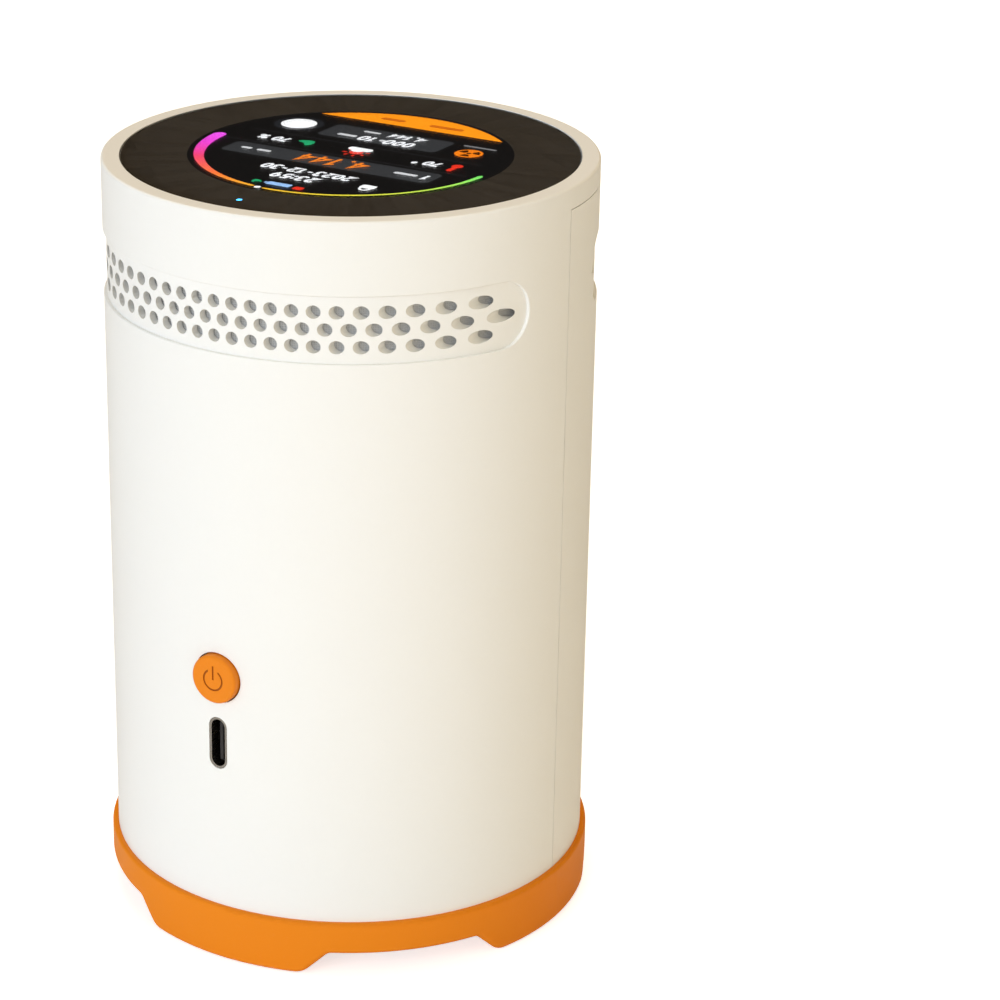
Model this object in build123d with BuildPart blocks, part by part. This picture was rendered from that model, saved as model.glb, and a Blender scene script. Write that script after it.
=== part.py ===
# Table-top radon and air quality monitor: a round case on a four-footed base, with a
# round display under glass on top, an ionisation chamber behind the vents and a
# rechargeable cell at the bottom.
#
# Millimetres, +Z up. The origin is the centre of the plane that the foot pads rest on.
# The power button and the charging socket face -Y; the display is read from the +Y side.
from build123d import *
import os
from math import cos, radians, sin, sqrt

# ---- Case -----------------------------------------------------------------------------
body_radius = 40.0  # outside of the white body
body_height = 117.8  # from the base's ledge to the top of the rim
wall = 2.0
rim_height = 3.5  # ring above the seam, in one piece with the front housing
rim_fillet = 0.45
seam_gap = 0.16  # joint line round the rear cover
fit_gap = 0.15  # between shells that nest
weld = 0.5  # how far a rib or a boss reaches into the wall that carries it
tongue_thickness = 1.0  # lip of the front housing behind the joint line
tongue_reach = 2.5

# ---- Base -----------------------------------------------------------------------------
base_step = 1.0  # how far the base stands out from the body
base_height = 9.5  # from the feet to the ledge
base_top_fillet = 0.55
base_bottom_fillet = 0.8
base_floor = 3.0
foot_width = 10.0  # radial width of a foot
notch_height = 4.0
notch_half_width = 12.4  # half of the gap between two feet, at its top
notch_foot_fillet = 3.0
notch_top_fillet = 1.5
spigot_thickness = 2.2  # ring that stands inside the case
spigot_height = 3.2
spigot_room = 1.0  # between the spigot and the lip above it
pad_radius = 3.6
pad_thickness = 1.0
pad_proud = 0.3

# ---- Vents ----------------------------------------------------------------------------
vent_drop = 17.05  # from the top of the rim to the middle of the vent band
vent_height = 10.7
vent_half_angle = 75.0  # degrees from the middle of the band to its tip
vent_depth = 0.55
vent_edge_fillet = 0.2
vent_hole_radius = 1.05
vent_hole_pitch = 3.16
vent_row_pitch = 2.75
vent_outer_row = 23  # holes in the upper and lower rows; the middle row has one more
filter_thickness = 0.5
filter_margin = 1.5  # how far the filter reaches past the band

# ---- Display --------------------------------------------------------------------------
glass_border = 3.05  # white rim left around the glass
glass_gap = 0.08
glass_thickness = 0.7
glass_chamfer = 0.14
glass_recess = 0.05
mask_thickness = 0.1
mask_overlap = 1.2  # of the mask over the edge of the display
tape_thickness = 0.25
tape_width = 1.8
lip_width = 3.0  # ledge under the edge of the glass
cell_radius = 27.4  # of the display
cell_thickness = 0.8
cell_chamfer = 0.08
backlight_thickness = 1.7
bezel_wall = 0.3
carrier_floor = 1.6
carrier_stand = 3.3  # gap between the carrier and the main board
flex_width = 12.0
flex_thickness = 0.3
flex_gap = 0.4  # round the flex in its slots
flex_y = 20.0
connector_height = 1.0
led_circle = 32.1  # distance of the status light from the axis
led_size = 1.6
led_height = 0.8
led_window_radius = 0.48
light_pipe_radius = 0.8
light_pipe_flange_radius = 1.2

# ---- Power button ---------------------------------------------------------------------
button_rise = 40.8  # from the ledge to the button's axis
button_radius = 4.1
button_gap = 0.22
button_proud = 1.2
button_fillet = 0.5
button_flange_width = 1.1
button_flange_thickness = 1.0
button_stem_radius = 1.4
button_stem_length = 2.4
flange_room = 0.5  # left behind the pressed button's flange
button_travel = 0.5
symbol_radius = 1.72
symbol_stroke = 0.32
symbol_depth = 0.15
symbol_gap_angle = 32.0  # half of the gap at the top of the ring, degrees
symbol_bar = 2.4  # height of the bar above the ring's centre
switch_width = 6.0
switch_depth = 3.6
plunger_radius = 0.9
plunger_length = 1.9
plunger_fit = 0.1

# ---- Charging socket: the sizes of a type C receptacle ----------------------------------
socket_rise = 29.25  # from the ledge to the socket's centre
socket_length = 8.94
socket_width = 3.26
socket_wall = 0.36
socket_depth = 7.3
socket_recess = 0.1  # behind the face of the case
socket_clearance = 0.08
tongue_width = 6.6  # of the contact tongue inside the socket
contact_tongue_thickness = 0.7
contact_tongue_recess = 0.9
socket_block_depth = 1.6

# ---- Boards and fasteners ---------------------------------------------------------------
board_thickness = 1.6
main_board_gap = 2.35  # between the board and the housing's lip
board_screw_inset = 4.5  # from the board's edge
carrier_screw_bite = 1.45  # thread in the lip
io_board_length = 23.5
io_wall_gap = 0.45  # from the inside of the case to the board's front corner
io_board_above = 7.5  # board above the button's axis
io_board_below = 9.0  # board below the socket's centre
post_radius = 2.6
boss_radius = 3.5
boss_inset = 5.4  # from the outside of the case to a boss's axis
boss_roof = 2.0  # left above a boss's hole
boss_floor_gap = 0.5
case_screw_bite = 8.0  # thread in a boss
leg_screw_bite = 7.0  # thread in a leg of the chassis
hole_spare = 2.0  # hole left beyond the end of a screw
screw_gap = 0.05  # round a thread in its hole
screw_radius = 1.25
screw_head_radius = 2.3
screw_head_height = 1.5
small_screw_radius = 0.8
small_screw_head_radius = 1.2
small_screw_head_height = 0.8
small_screw_bite = 4.0  # thread in a post
head_room = 0.2  # from a carrier screw's head to the tongue

# ---- Ionisation chamber -----------------------------------------------------------------
chamber_radius = 27.0
chamber_height = 35.0
chamber_wall = 0.8
chamber_board_gap = 5.0  # between the board and the case
lid_skirt = 4.0
lid_hole_radius = 1.3
lid_hole_pitch = 4.6
electrode_radius = 1.0
electrode_height = 27.0
electrode_tail = 2.0  # below the board
insulator_radius = 3.0
insulator_height = 4.0
insulator_tail = 1.0  # below the board
shield_size = 24.0
shield_height = 5.0
shield_wall = 0.4
shield_corner = 1.5
ribbon_width = 8.0
ribbon_thickness = 0.6
link_width = 6.0
link_inset = 14.0  # from the upright board's back edge
link_gap = 0.6  # between the chassis deck and the lower socket

# ---- Cell and chassis -------------------------------------------------------------------
cell_diameter = 18.4
cell_length = 65.0
cradle_wall = 1.2
cradle_floor = 1.6
contact_thickness = 0.4
nub_height = 0.8  # raised end of the cell
deck_gap = 1.6  # between the chassis deck and the case
deck_thickness = 2.0
deck_rise = 42.2  # from the ledge to the underside of the chassis deck
leg_radius = 3.0
leg_x = 14.0
leg_y = 27.0
chamber_stand = 8.0  # gap between the deck and the chamber's board
fin_thickness = 2.4
fin_setback = 2.0
fin_length = 10.5
fin_screw_drop = 3.0  # from the deck to the upper screw, and below the lower one
fin_screw_rise = 6.5  # from the upright board's foot to the lower screw
io_slot_width = 8.0
wire_radius = 0.6

# ---- Levels and places worked out from the sizes above ----------------------------------
base_radius = body_radius + base_step
base_bottom = pad_proud
ledge_z = base_bottom + base_height
top_z = ledge_z + body_height
rim_z = top_z - rim_height
inner_radius = body_radius - wall
vent_z = top_z - vent_drop
button_z = ledge_z + button_rise
socket_z = ledge_z + socket_rise

glass_radius = body_radius - glass_border
glass_top = top_z - glass_recess
mask_top = glass_top - glass_thickness
mask_bottom = mask_top - mask_thickness
lip_top = mask_bottom - tape_thickness
lip_radius = glass_radius - lip_width
lip_thickness = lip_top - rim_z
mask_window_radius = cell_radius - mask_overlap
tongue_outer = inner_radius - fit_gap
tongue_inner = tongue_outer - tongue_thickness

floor_bottom = base_bottom + notch_height
floor_top = floor_bottom + base_floor
foot_radius = base_radius - foot_width
spigot_outer = inner_radius - 2 * fit_gap
spigot_inner = spigot_outer - spigot_thickness
boss_circle = body_radius - boss_inset
pad_circle = base_radius - foot_width / 2
boss_hole = case_screw_bite + hole_spare
boss_height = boss_hole + boss_roof
leg_hole = leg_screw_bite + hole_spare
lip_hole = carrier_screw_bite + 2 * fit_gap
screw_seat_z = floor_bottom + screw_gap + screw_head_height

main_board_radius = tongue_inner - main_board_gap
chamber_board_radius = inner_radius - chamber_board_gap
deck_radius = inner_radius - deck_gap

os.makedirs("parts", exist_ok=True)


def finish(builder, name):
    """Label a finished piece and write it to its own file."""
    builder.part.label = name
    export_step(builder.part, "parts/" + name + ".step")


def ring_sector(outer, inner, half_angle, height):
    """Part of a tube's wall, standing on the XY plane and centred on the -Y direction."""
    with BuildPart() as piece:
        with BuildSketch():
            with BuildLine():
                rim = CenterArc((0, 0), outer, -90 - half_angle, 2 * half_angle)
                Line(rim @ 1, (0, 0))
                Line((0, 0), rim @ 0)
            make_face()
            Circle(inner, mode=Mode.SUBTRACT)
        extrude(amount=height)
    return piece.part


def screw(radius, head_radius, head_height, length):
    """Pan-head screw with its head on the XY plane, its thread up and a cross recess."""
    with BuildPart() as piece:
        Cylinder(head_radius, head_height, align=(Align.CENTER, Align.CENTER, Align.MIN))
        fillet(piece.edges().sort_by(Axis.Z)[0], head_height * 0.4)
        with BuildSketch(Plane.XY.offset(head_height)):
            Circle(radius)
        extrude(amount=length)
        chamfer(piece.edges().sort_by(Axis.Z)[-1], radius * 0.4)
        with BuildSketch():
            Rectangle(head_radius * 1.1, head_radius * 0.28)
            Rectangle(head_radius * 0.28, head_radius * 1.1)
        extrude(amount=head_height * 0.5, mode=Mode.SUBTRACT)
    return piece.part


def on_circle(edge, radius):
    """Whether an edge keeps to a radius from the axis, at both quarters and the middle."""
    points = [edge @ place for place in (0.25, 0.5, 0.75)]
    return all(abs(Vector(point.X, point.Y).length - radius) < 0.01 for point in points)


def polar(radius, *angles):
    """Points on a circle, by their angles from +X in degrees."""
    return [(radius * cos(radians(angle)), radius * sin(radians(angle))) for angle in angles]


diagonals = (45, 135, 225, 315)
boss_points = polar(boss_circle, *diagonals)
front_bosses = [point for point in boss_points if point[1] < 0]
rear_bosses = [point for point in boss_points if point[1] > 0]
leg_points = [(x, y) for x in (-leg_x, leg_x) for y in (-leg_y, leg_y)]
carrier_screw_circle = tongue_inner - small_screw_head_radius - head_room
carrier_screw_points = polar(carrier_screw_circle, 22.5, 112.5, 202.5, 292.5)
board_screw_points = polar(main_board_radius - board_screw_inset, *diagonals)
chamber_screw_points = polar(chamber_board_radius - small_screw_head_radius * 2.5, *diagonals)

# ---- Cutters shared by the two halves of the case ---------------------------------------
cut_reach = body_radius + 3
end_angle = vent_half_angle - vent_height / 2 / radians(body_radius)
band_sector = ring_sector(cut_reach, body_radius - vent_depth, end_angle, vent_height)

# Recess of the vent band: a slot with round ends, wrapped round the body
with BuildPart() as vent_recess:
    with Locations((0, 0, vent_z - vent_height / 2)):
        add(band_sector)
    for side in (-1, 1):
        outward = (side * sin(radians(end_angle)), -cos(radians(end_angle)), 0)
        with BuildSketch(Plane(origin=(0, 0, vent_z), x_dir=(0, 0, 1), z_dir=outward)):
            Circle(vent_height / 2)
        extrude(amount=cut_reach)
    with BuildSketch(Plane.XY.offset(vent_z - vent_height)):
        Circle(cut_reach)
        Circle(body_radius - vent_depth, mode=Mode.SUBTRACT)
    extrude(amount=2 * vent_height, mode=Mode.INTERSECT)

# Three rows of straight holes, all parallel, as a mould makes them
with BuildPart() as vent_holes:
    for row in (-1, 0, 1):
        row_holes = vent_outer_row + (row == 0)
        with BuildSketch(Plane.XZ.offset(cut_reach)):
            with Locations((0, vent_z + row * vent_row_pitch)):
                with GridLocations(vent_hole_pitch, vent_row_pitch, row_holes, 1):
                    Circle(vent_hole_radius)
        extrude(amount=-cut_reach)


def band_outline(builder):
    """Edges where a vent band's recess meets the outside of the body."""
    edges = builder.edges().filter_by_position(Axis.Z, vent_z - vent_height, vent_z + vent_height)
    on_skin = edges.filter_by(lambda edge: on_circle(edge, body_radius))
    return on_skin.filter_by(lambda edge: abs((edge @ 0.5).Y) > 1)


# ---- Front housing: the front half of the body and the whole rim ------------------------
with BuildPart() as front_housing:
    with BuildSketch(Plane.XY.offset(ledge_z)):
        Circle(body_radius)
    extrude(amount=body_height)
    fillet(front_housing.faces().sort_by(Axis.Z)[-1].edges(), rim_fillet)
    with BuildSketch(Plane.XY.offset(ledge_z)):
        Circle(inner_radius)
    extrude(amount=rim_z - ledge_z, mode=Mode.SUBTRACT)
    with BuildSketch(Plane.XY.offset(rim_z)):
        Circle(lip_radius)
    extrude(amount=rim_height, mode=Mode.SUBTRACT)
    with BuildSketch(Plane.XY.offset(lip_top)):
        Circle(glass_radius + glass_gap)
    extrude(amount=rim_height, mode=Mode.SUBTRACT)
    # The rear half below the rim belongs to the cover
    with BuildSketch(Plane.XY.offset(ledge_z)):
        with Locations((0, cut_reach)):
            Rectangle(2 * cut_reach, 2 * cut_reach)
    extrude(amount=rim_z - ledge_z, mode=Mode.SUBTRACT)
    add(vent_recess.part, mode=Mode.SUBTRACT)
    fillet(band_outline(front_housing), vent_edge_fillet)
    add(vent_holes.part, mode=Mode.SUBTRACT)
    # Lip behind the joint line: up both sides, and round the rear under the rim
    side_lip_z = ledge_z + spigot_height + spigot_room
    with BuildSketch(Plane.XY.offset(side_lip_z)):
        Circle(tongue_outer)
        Circle(tongue_inner, mode=Mode.SUBTRACT)
        Rectangle(2 * cut_reach, 2 * tongue_reach, mode=Mode.INTERSECT)
    extrude(amount=rim_z - side_lip_z)
    with BuildSketch(Plane.XY.offset(side_lip_z)):
        Circle(inner_radius + weld)
        Circle(tongue_inner, mode=Mode.SUBTRACT)
        with Locations((0, -tongue_reach / 2 - seam_gap)):
            Rectangle(2 * cut_reach, tongue_reach, mode=Mode.INTERSECT)
    extrude(amount=rim_z - side_lip_z)
    with BuildSketch(Plane.XY.offset(rim_z - tongue_reach)):
        Circle(tongue_outer)
        Circle(tongue_inner, mode=Mode.SUBTRACT)
        with Locations((0, cut_reach)):
            Rectangle(2 * cut_reach, 2 * cut_reach, mode=Mode.INTERSECT)
    extrude(amount=tongue_reach + weld)
    # Screw bosses
    with BuildSketch(Plane.XY.offset(ledge_z)):
        with Locations(*front_bosses):
            Circle(boss_radius)
        Circle(inner_radius + weld, mode=Mode.INTERSECT)
    extrude(amount=boss_height)
    with Locations(*[(x, y, ledge_z) for x, y in front_bosses]):
        Cylinder(screw_radius + screw_gap, 2 * boss_hole, mode=Mode.SUBTRACT)
    # Threads for the screws that hold the display's carrier under the lip
    with Locations(*[(x, y, rim_z) for x, y in carrier_screw_points]):
        Cylinder(small_screw_radius + screw_gap, 2 * lip_hole, mode=Mode.SUBTRACT)
    # Button and socket openings
    with BuildSketch(Plane.XZ.offset(cut_reach)):
        with Locations((0, button_z)):
            Circle(button_radius + button_gap)
        with Locations((0, socket_z)):
            SlotOverall(
                socket_length + 2 * socket_clearance, socket_width + 2 * socket_clearance, rotation=90
            )
    extrude(amount=-(cut_reach - inner_radius + wall), mode=Mode.SUBTRACT)
finish(front_housing, "front_housing")

# ---- Rear cover: the rear half of the body, below the rim -------------------------------
with BuildPart() as rear_cover:
    with BuildSketch(Plane.XY.offset(ledge_z)):
        Circle(body_radius)
        Circle(inner_radius, mode=Mode.SUBTRACT)
        with Locations((0, seam_gap + cut_reach)):
            Rectangle(2 * cut_reach, 2 * cut_reach, mode=Mode.INTERSECT)
    extrude(amount=rim_z - seam_gap - ledge_z)
    mirror(vent_recess.part, about=Plane.XZ, mode=Mode.SUBTRACT)
    fillet(band_outline(rear_cover), vent_edge_fillet)
    mirror(vent_holes.part, about=Plane.XZ, mode=Mode.SUBTRACT)
    with BuildSketch(Plane.XY.offset(ledge_z)):
        with Locations(*rear_bosses):
            Circle(boss_radius)
        Circle(inner_radius + weld, mode=Mode.INTERSECT)
    extrude(amount=boss_height)
    with Locations(*[(x, y, ledge_z) for x, y in rear_bosses]):
        Cylinder(screw_radius + screw_gap, 2 * boss_hole, mode=Mode.SUBTRACT)
finish(rear_cover, "rear_cover")

# ---- Vent filters: mesh strips held against the inside of the wall ----------------------
filter_half_angle = vent_half_angle - 1
filter_height = vent_height + 2 * filter_margin
filter_outer = inner_radius - fit_gap
with BuildPart() as vent_filter_front:
    with Locations((0, 0, vent_z - filter_height / 2)):
        add(
            ring_sector(filter_outer, filter_outer - filter_thickness, filter_half_angle, filter_height)
        )
finish(vent_filter_front, "vent_filter_front")

with BuildPart() as vent_filter_rear:
    mirror(vent_filter_front.part, about=Plane.XZ)
finish(vent_filter_rear, "vent_filter_rear")

# ---- Base: floor, four feet, and a spigot that stands inside the case -------------------
with BuildPart() as base:
    with BuildSketch(Plane.XZ):
        with BuildLine():
            Polyline(
                (0, floor_bottom),
                (foot_radius, floor_bottom),
                (foot_radius, base_bottom),
                (base_radius, base_bottom),
                (base_radius, ledge_z),
                (spigot_outer, ledge_z),
                (spigot_outer, ledge_z + spigot_height),
                (spigot_inner, ledge_z + spigot_height),
                (spigot_inner, floor_top),
                (0, floor_top),
                close=True,
            )
        make_face()
        fillet(vertices().group_by(Axis.X)[-1].sort_by(Axis.Y)[-1], base_top_fillet)
    revolve(axis=Axis.Z)
    # Gaps between the feet
    for angle in diagonals[:2]:
        across = (cos(radians(angle)), sin(radians(angle)), 0)
        notch_plane = Plane(
            origin=(0, 0, base_bottom), x_dir=(-across[1], across[0], 0), z_dir=across
        )
        with BuildSketch(notch_plane):
            with BuildLine():
                ramp_foot = notch_half_width + notch_height
                flare = ramp_foot + notch_foot_fillet
                Polyline(
                    (-flare, -1),
                    (-flare, 0),
                    (-ramp_foot, 0),
                    (-notch_half_width, notch_height),
                    (notch_half_width, notch_height),
                    (ramp_foot, 0),
                    (flare, 0),
                    (flare, -1),
                    close=True,
                )
            make_face()
            fillet(vertices().group_by(Axis.Y)[-1], notch_top_fillet)
            fillet(vertices().group_by(Axis.Y)[1].sort_by(Axis.X)[1:3], notch_foot_fillet)
        extrude(amount=2 * base_radius, both=True, mode=Mode.SUBTRACT)
    # The whole lower outline, round the feet and over the gaps, is softly rounded
    lower_edges = base.edges().filter_by_position(Axis.Z, 0, floor_bottom + screw_gap)
    fillet(lower_edges.filter_by(lambda edge: on_circle(edge, base_radius)), base_bottom_fillet)
    # Pads under the screw bosses, and room for the bosses in the spigot
    with Locations(*[(x, y, floor_bottom) for x, y in boss_points]):
        Cylinder(
            boss_radius,
            ledge_z - floor_bottom,
            align=(Align.CENTER, Align.CENTER, Align.MIN),
        )
    with Locations(*[(x, y, ledge_z) for x, y in boss_points]):
        Cylinder(
            boss_radius + boss_floor_gap,
            2 * spigot_height,
            align=(Align.CENTER, Align.CENTER, Align.MIN),
            mode=Mode.SUBTRACT,
        )
    # Screw holes: the case's screws and the chassis's screws, sunk from below
    with Locations(Plane.XY.offset(floor_bottom).rotated((180, 0, 0))):
        with Locations(*[(x, -y) for x, y in boss_points + leg_points]):
            CounterBoreHole(
                screw_radius + fit_gap,
                screw_head_radius + fit_gap,
                screw_head_height + screw_gap,
                depth=2 * base_height,
            )
    # Seats for the rubber pads
    with Locations(*[(x, y, base_bottom) for x, y in polar(pad_circle, *range(0, 360, 90))]):
        Cylinder(
            pad_radius + screw_gap, 2 * (pad_thickness - pad_proud), mode=Mode.SUBTRACT
        )
finish(base, "base")

with BuildPart() as foot_pads:
    with BuildSketch():
        with Locations(*polar(pad_circle, *range(0, 360, 90))):
            Circle(pad_radius)
    extrude(amount=pad_thickness)
    chamfer(foot_pads.edges().group_by(Axis.Z)[0], pad_thickness * 0.2)
finish(foot_pads, "foot_pads")

case_screw = screw(
    screw_radius, screw_head_radius, screw_head_height, ledge_z + case_screw_bite - screw_seat_z
)
with BuildPart() as base_screws:
    with Locations(*[(x, y, floor_bottom + screw_gap) for x, y in boss_points]):
        add(case_screw)
finish(base_screws, "base_screws")

# ---- Cover glass and what is stuck under it ---------------------------------------------
with BuildPart() as cover_glass:
    with BuildSketch(Plane.XY.offset(mask_top)):
        Circle(glass_radius)
    extrude(amount=glass_thickness)
    chamfer(cover_glass.edges().filter_by(GeomType.CIRCLE), glass_chamfer)
finish(cover_glass, "cover_glass")

# Black print on the underside, with windows for the picture and the status light
with BuildPart() as glass_mask:
    with BuildSketch(Plane.XY.offset(mask_bottom)):
        Circle(glass_radius - glass_chamfer - screw_gap)
        Circle(mask_window_radius, mode=Mode.SUBTRACT)
        with Locations((0, -led_circle)):
            Circle(led_window_radius, mode=Mode.SUBTRACT)
    extrude(amount=mask_thickness)
finish(glass_mask, "glass_mask")

with BuildPart() as glass_tape:
    with BuildSketch(Plane.XY.offset(lip_top)):
        Circle(glass_radius - fit_gap)
        Circle(glass_radius - fit_gap - tape_width, mode=Mode.SUBTRACT)
    extrude(amount=tape_thickness)
finish(glass_tape, "glass_tape")

# ---- Display module ---------------------------------------------------------------------
with BuildPart() as display_cell:
    with BuildSketch(Plane.XY.offset(mask_bottom - cell_thickness)):
        Circle(cell_radius)
    extrude(amount=cell_thickness)
    chamfer(display_cell.edges().filter_by(GeomType.CIRCLE), cell_chamfer)
finish(display_cell, "display_cell")

backlight_top = mask_bottom - cell_thickness
with BuildPart() as display_backlight:
    with BuildSketch(Plane.XY.offset(backlight_top - backlight_thickness)):
        Circle(cell_radius)
    extrude(amount=backlight_thickness)
    chamfer(display_backlight.edges().filter_by(GeomType.CIRCLE), bezel_wall)
finish(display_backlight, "display_backlight")

bezel_floor = backlight_top - backlight_thickness - bezel_wall
bezel_radius = cell_radius + screw_gap + bezel_wall
with BuildPart() as display_bezel:
    with BuildSketch(Plane.XY.offset(bezel_floor)):
        Circle(bezel_radius)
    extrude(amount=bezel_wall + backlight_thickness + cell_thickness / 2)
    with BuildSketch(Plane.XY.offset(bezel_floor + bezel_wall)):
        Circle(cell_radius + screw_gap)
    extrude(amount=backlight_thickness + cell_thickness, mode=Mode.SUBTRACT)
    with BuildSketch(Plane.XY.offset(bezel_floor)):
        with Locations((0, flex_y)):
            Rectangle(flex_width + 2 * flex_gap, flex_thickness + 2 * flex_gap)
    extrude(amount=bezel_wall, mode=Mode.SUBTRACT)
finish(display_bezel, "display_bezel")

# Carrier: a cup that holds the display up to the glass; its flange screws to the lip
carrier_bottom = bezel_floor - carrier_floor
main_board_top = carrier_bottom - carrier_stand
main_board_bottom = main_board_top - board_thickness
with BuildPart() as display_carrier:
    with BuildSketch(Plane.XY.offset(carrier_bottom)):
        Circle(tongue_inner - fit_gap)
    extrude(amount=rim_z - carrier_bottom)
    with BuildSketch(Plane.XY.offset(carrier_bottom)):
        Circle(lip_radius - 2 * fit_gap)
    extrude(amount=mask_bottom - fit_gap - carrier_bottom)
    with BuildSketch(Plane.XY.offset(bezel_floor)):
        Circle(bezel_radius + screw_gap)
    extrude(amount=rim_height + carrier_floor, mode=Mode.SUBTRACT)
    with BuildSketch(Plane.XY.offset(carrier_bottom)):
        with Locations(*board_screw_points):
            Circle(post_radius)
    extrude(amount=-carrier_stand)
    with Locations(*[(x, y, main_board_top) for x, y in board_screw_points]):
        Cylinder(small_screw_radius + screw_gap, 2 * small_screw_bite, mode=Mode.SUBTRACT)
    with Locations(*[(x, y, carrier_bottom) for x, y in carrier_screw_points]):
        Cylinder(small_screw_radius + screw_gap, 4 * carrier_floor, mode=Mode.SUBTRACT)
    with BuildSketch(Plane.XY.offset(carrier_bottom)):
        with Locations((0, flex_y)):
            Rectangle(flex_width + 2 * flex_gap, flex_thickness + 2 * flex_gap)
        with Locations((0, -led_circle)):
            Circle(light_pipe_radius + screw_gap)
    extrude(amount=rim_height + carrier_floor, mode=Mode.SUBTRACT)
finish(display_carrier, "display_carrier")

with BuildPart() as carrier_screws:
    with Locations(
        *[(x, y, carrier_bottom - small_screw_head_height) for x, y in carrier_screw_points]
    ):
        add(
            screw(
                small_screw_radius,
                small_screw_head_radius,
                small_screw_head_height,
                rim_z - carrier_bottom + carrier_screw_bite,
            )
        )
finish(carrier_screws, "carrier_screws")

with BuildPart() as display_flex:
    with BuildSketch(Plane.XY.offset(main_board_top + connector_height)):
        with Locations((0, flex_y)):
            Rectangle(flex_width, flex_thickness)
    extrude(amount=bezel_floor + bezel_wall - main_board_top - connector_height)
finish(display_flex, "display_flex")

# ---- Main board and what is soldered to it ----------------------------------------------
board_screw = screw(
    small_screw_radius,
    small_screw_head_radius,
    small_screw_head_height,
    board_thickness + small_screw_bite - 2 * fit_gap,
)
with BuildPart() as main_board:
    with BuildSketch(Plane.XY.offset(main_board_bottom)):
        Circle(main_board_radius)
        with Locations(*board_screw_points):
            Circle(small_screw_radius + fit_gap, mode=Mode.SUBTRACT)
    extrude(amount=board_thickness)
finish(main_board, "main_board")

with BuildPart() as board_screws:
    with Locations(
        *[(x, y, main_board_bottom - small_screw_head_height) for x, y in board_screw_points]
    ):
        add(board_screw)
finish(board_screws, "board_screws")


def block_part(centre, size, edge=0.0):
    """A small component: a box standing on its lowest face, with its upright edges rounded."""
    with BuildPart() as piece:
        with Locations(centre):
            Box(*size, align=(Align.CENTER, Align.CENTER, Align.MIN))
        if edge:
            fillet(piece.edges().filter_by(Axis.Z), edge)
    return piece


component_edge = 0.2  # rounding of a small component's upright edges
display_socket_size = (flex_width + 2, 3.0, connector_height)
display_socket = block_part((0, flex_y, main_board_top), display_socket_size, component_edge)
finish(display_socket, "display_socket")

status_led_size = (led_size, led_size, led_height)
status_led = block_part((0, -led_circle, main_board_top), status_led_size, component_edge)
finish(status_led, "status_led")

with BuildPart() as light_pipe:
    with BuildSketch(Plane.XY.offset(main_board_top + led_height)):
        with Locations((0, -led_circle)):
            Circle(light_pipe_radius)
    extrude(amount=mask_bottom - main_board_top - led_height)
    with BuildSketch(Plane.XY.offset(carrier_bottom - led_height)):
        with Locations((0, -led_circle)):
            Circle(light_pipe_flange_radius)
    extrude(amount=led_height)
finish(light_pipe, "light_pipe")



def hang(x, y, board_bottom, size):
    """A component of this size on the underside of a board."""
    return block_part((x, y, board_bottom - size[2]), size, component_edge)


processor = hang(-9.0, -6.0, main_board_bottom, (10.0, 10.0, 1.2))
finish(processor, "processor")

climate_sensor = hang(14.0, -27.0, main_board_bottom, (3.0, 3.0, 1.0))
finish(climate_sensor, "climate_sensor")

radio_module = hang(12.0, 2.0, main_board_bottom, (16.0, 12.0, 2.6))
finish(radio_module, "radio_module")

buzzer_radius = 6.0
buzzer_height = 5.0
buzzer_edge = 0.5
buzzer_port_radius = 1.2
buzzer_x, buzzer_y = -13.0, 14.0
with BuildPart() as buzzer:
    with BuildSketch(Plane.XY.offset(main_board_bottom)):
        with Locations((buzzer_x, buzzer_y)):
            Circle(buzzer_radius)
    extrude(amount=-buzzer_height)
    fillet(buzzer.edges().sort_by(Axis.Z)[0], buzzer_edge)
    with Locations((buzzer_x, buzzer_y, main_board_bottom - buzzer_height)):
        Cylinder(buzzer_port_radius, buzzer_height / 2, mode=Mode.SUBTRACT)
finish(buzzer, "buzzer")

# ---- Ionisation chamber ------------------------------------------------------------------
deck_z = ledge_z + deck_rise
deck_top = deck_z + deck_thickness
chamber_board_bottom = deck_top + chamber_stand
chamber_board_top = chamber_board_bottom + board_thickness
can_top = chamber_board_top + chamber_height
with BuildPart() as chamber_board:
    with BuildSketch(Plane.XY.offset(chamber_board_bottom)):
        Circle(chamber_board_radius)
        Circle(insulator_radius + screw_gap, mode=Mode.SUBTRACT)
        with Locations(*chamber_screw_points):
            Circle(small_screw_radius + fit_gap, mode=Mode.SUBTRACT)
    extrude(amount=board_thickness)
finish(chamber_board, "chamber_board")

with BuildPart() as chamber_can:
    with BuildSketch(Plane.XY.offset(chamber_board_top)):
        Circle(chamber_radius)
        Circle(chamber_radius - chamber_wall, mode=Mode.SUBTRACT)
    extrude(amount=chamber_height)
finish(chamber_can, "chamber_can")

with BuildPart() as chamber_lid:
    with BuildSketch(Plane.XY.offset(can_top - lid_skirt)):
        Circle(chamber_radius + screw_gap + chamber_wall)
    extrude(amount=lid_skirt + chamber_wall)
    fillet(chamber_lid.edges().sort_by(Axis.Z)[-1], chamber_wall * 0.8)
    with BuildSketch(Plane.XY.offset(can_top - lid_skirt)):
        Circle(chamber_radius + screw_gap)
    extrude(amount=lid_skirt, mode=Mode.SUBTRACT)
    with BuildSketch(Plane.XY.offset(can_top)):
        Circle(lid_hole_radius)
        for ring in range(1, 5):
            with PolarLocations(ring * lid_hole_pitch, 6 * ring):
                Circle(lid_hole_radius)
    extrude(amount=chamber_wall, mode=Mode.SUBTRACT)
finish(chamber_lid, "chamber_lid")

with BuildPart() as electrode_insulator:
    with BuildSketch(Plane.XY.offset(chamber_board_bottom - insulator_tail)):
        Circle(insulator_radius)
        Circle(electrode_radius + screw_gap, mode=Mode.SUBTRACT)
    extrude(amount=insulator_height + board_thickness)
finish(electrode_insulator, "electrode_insulator")

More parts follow.
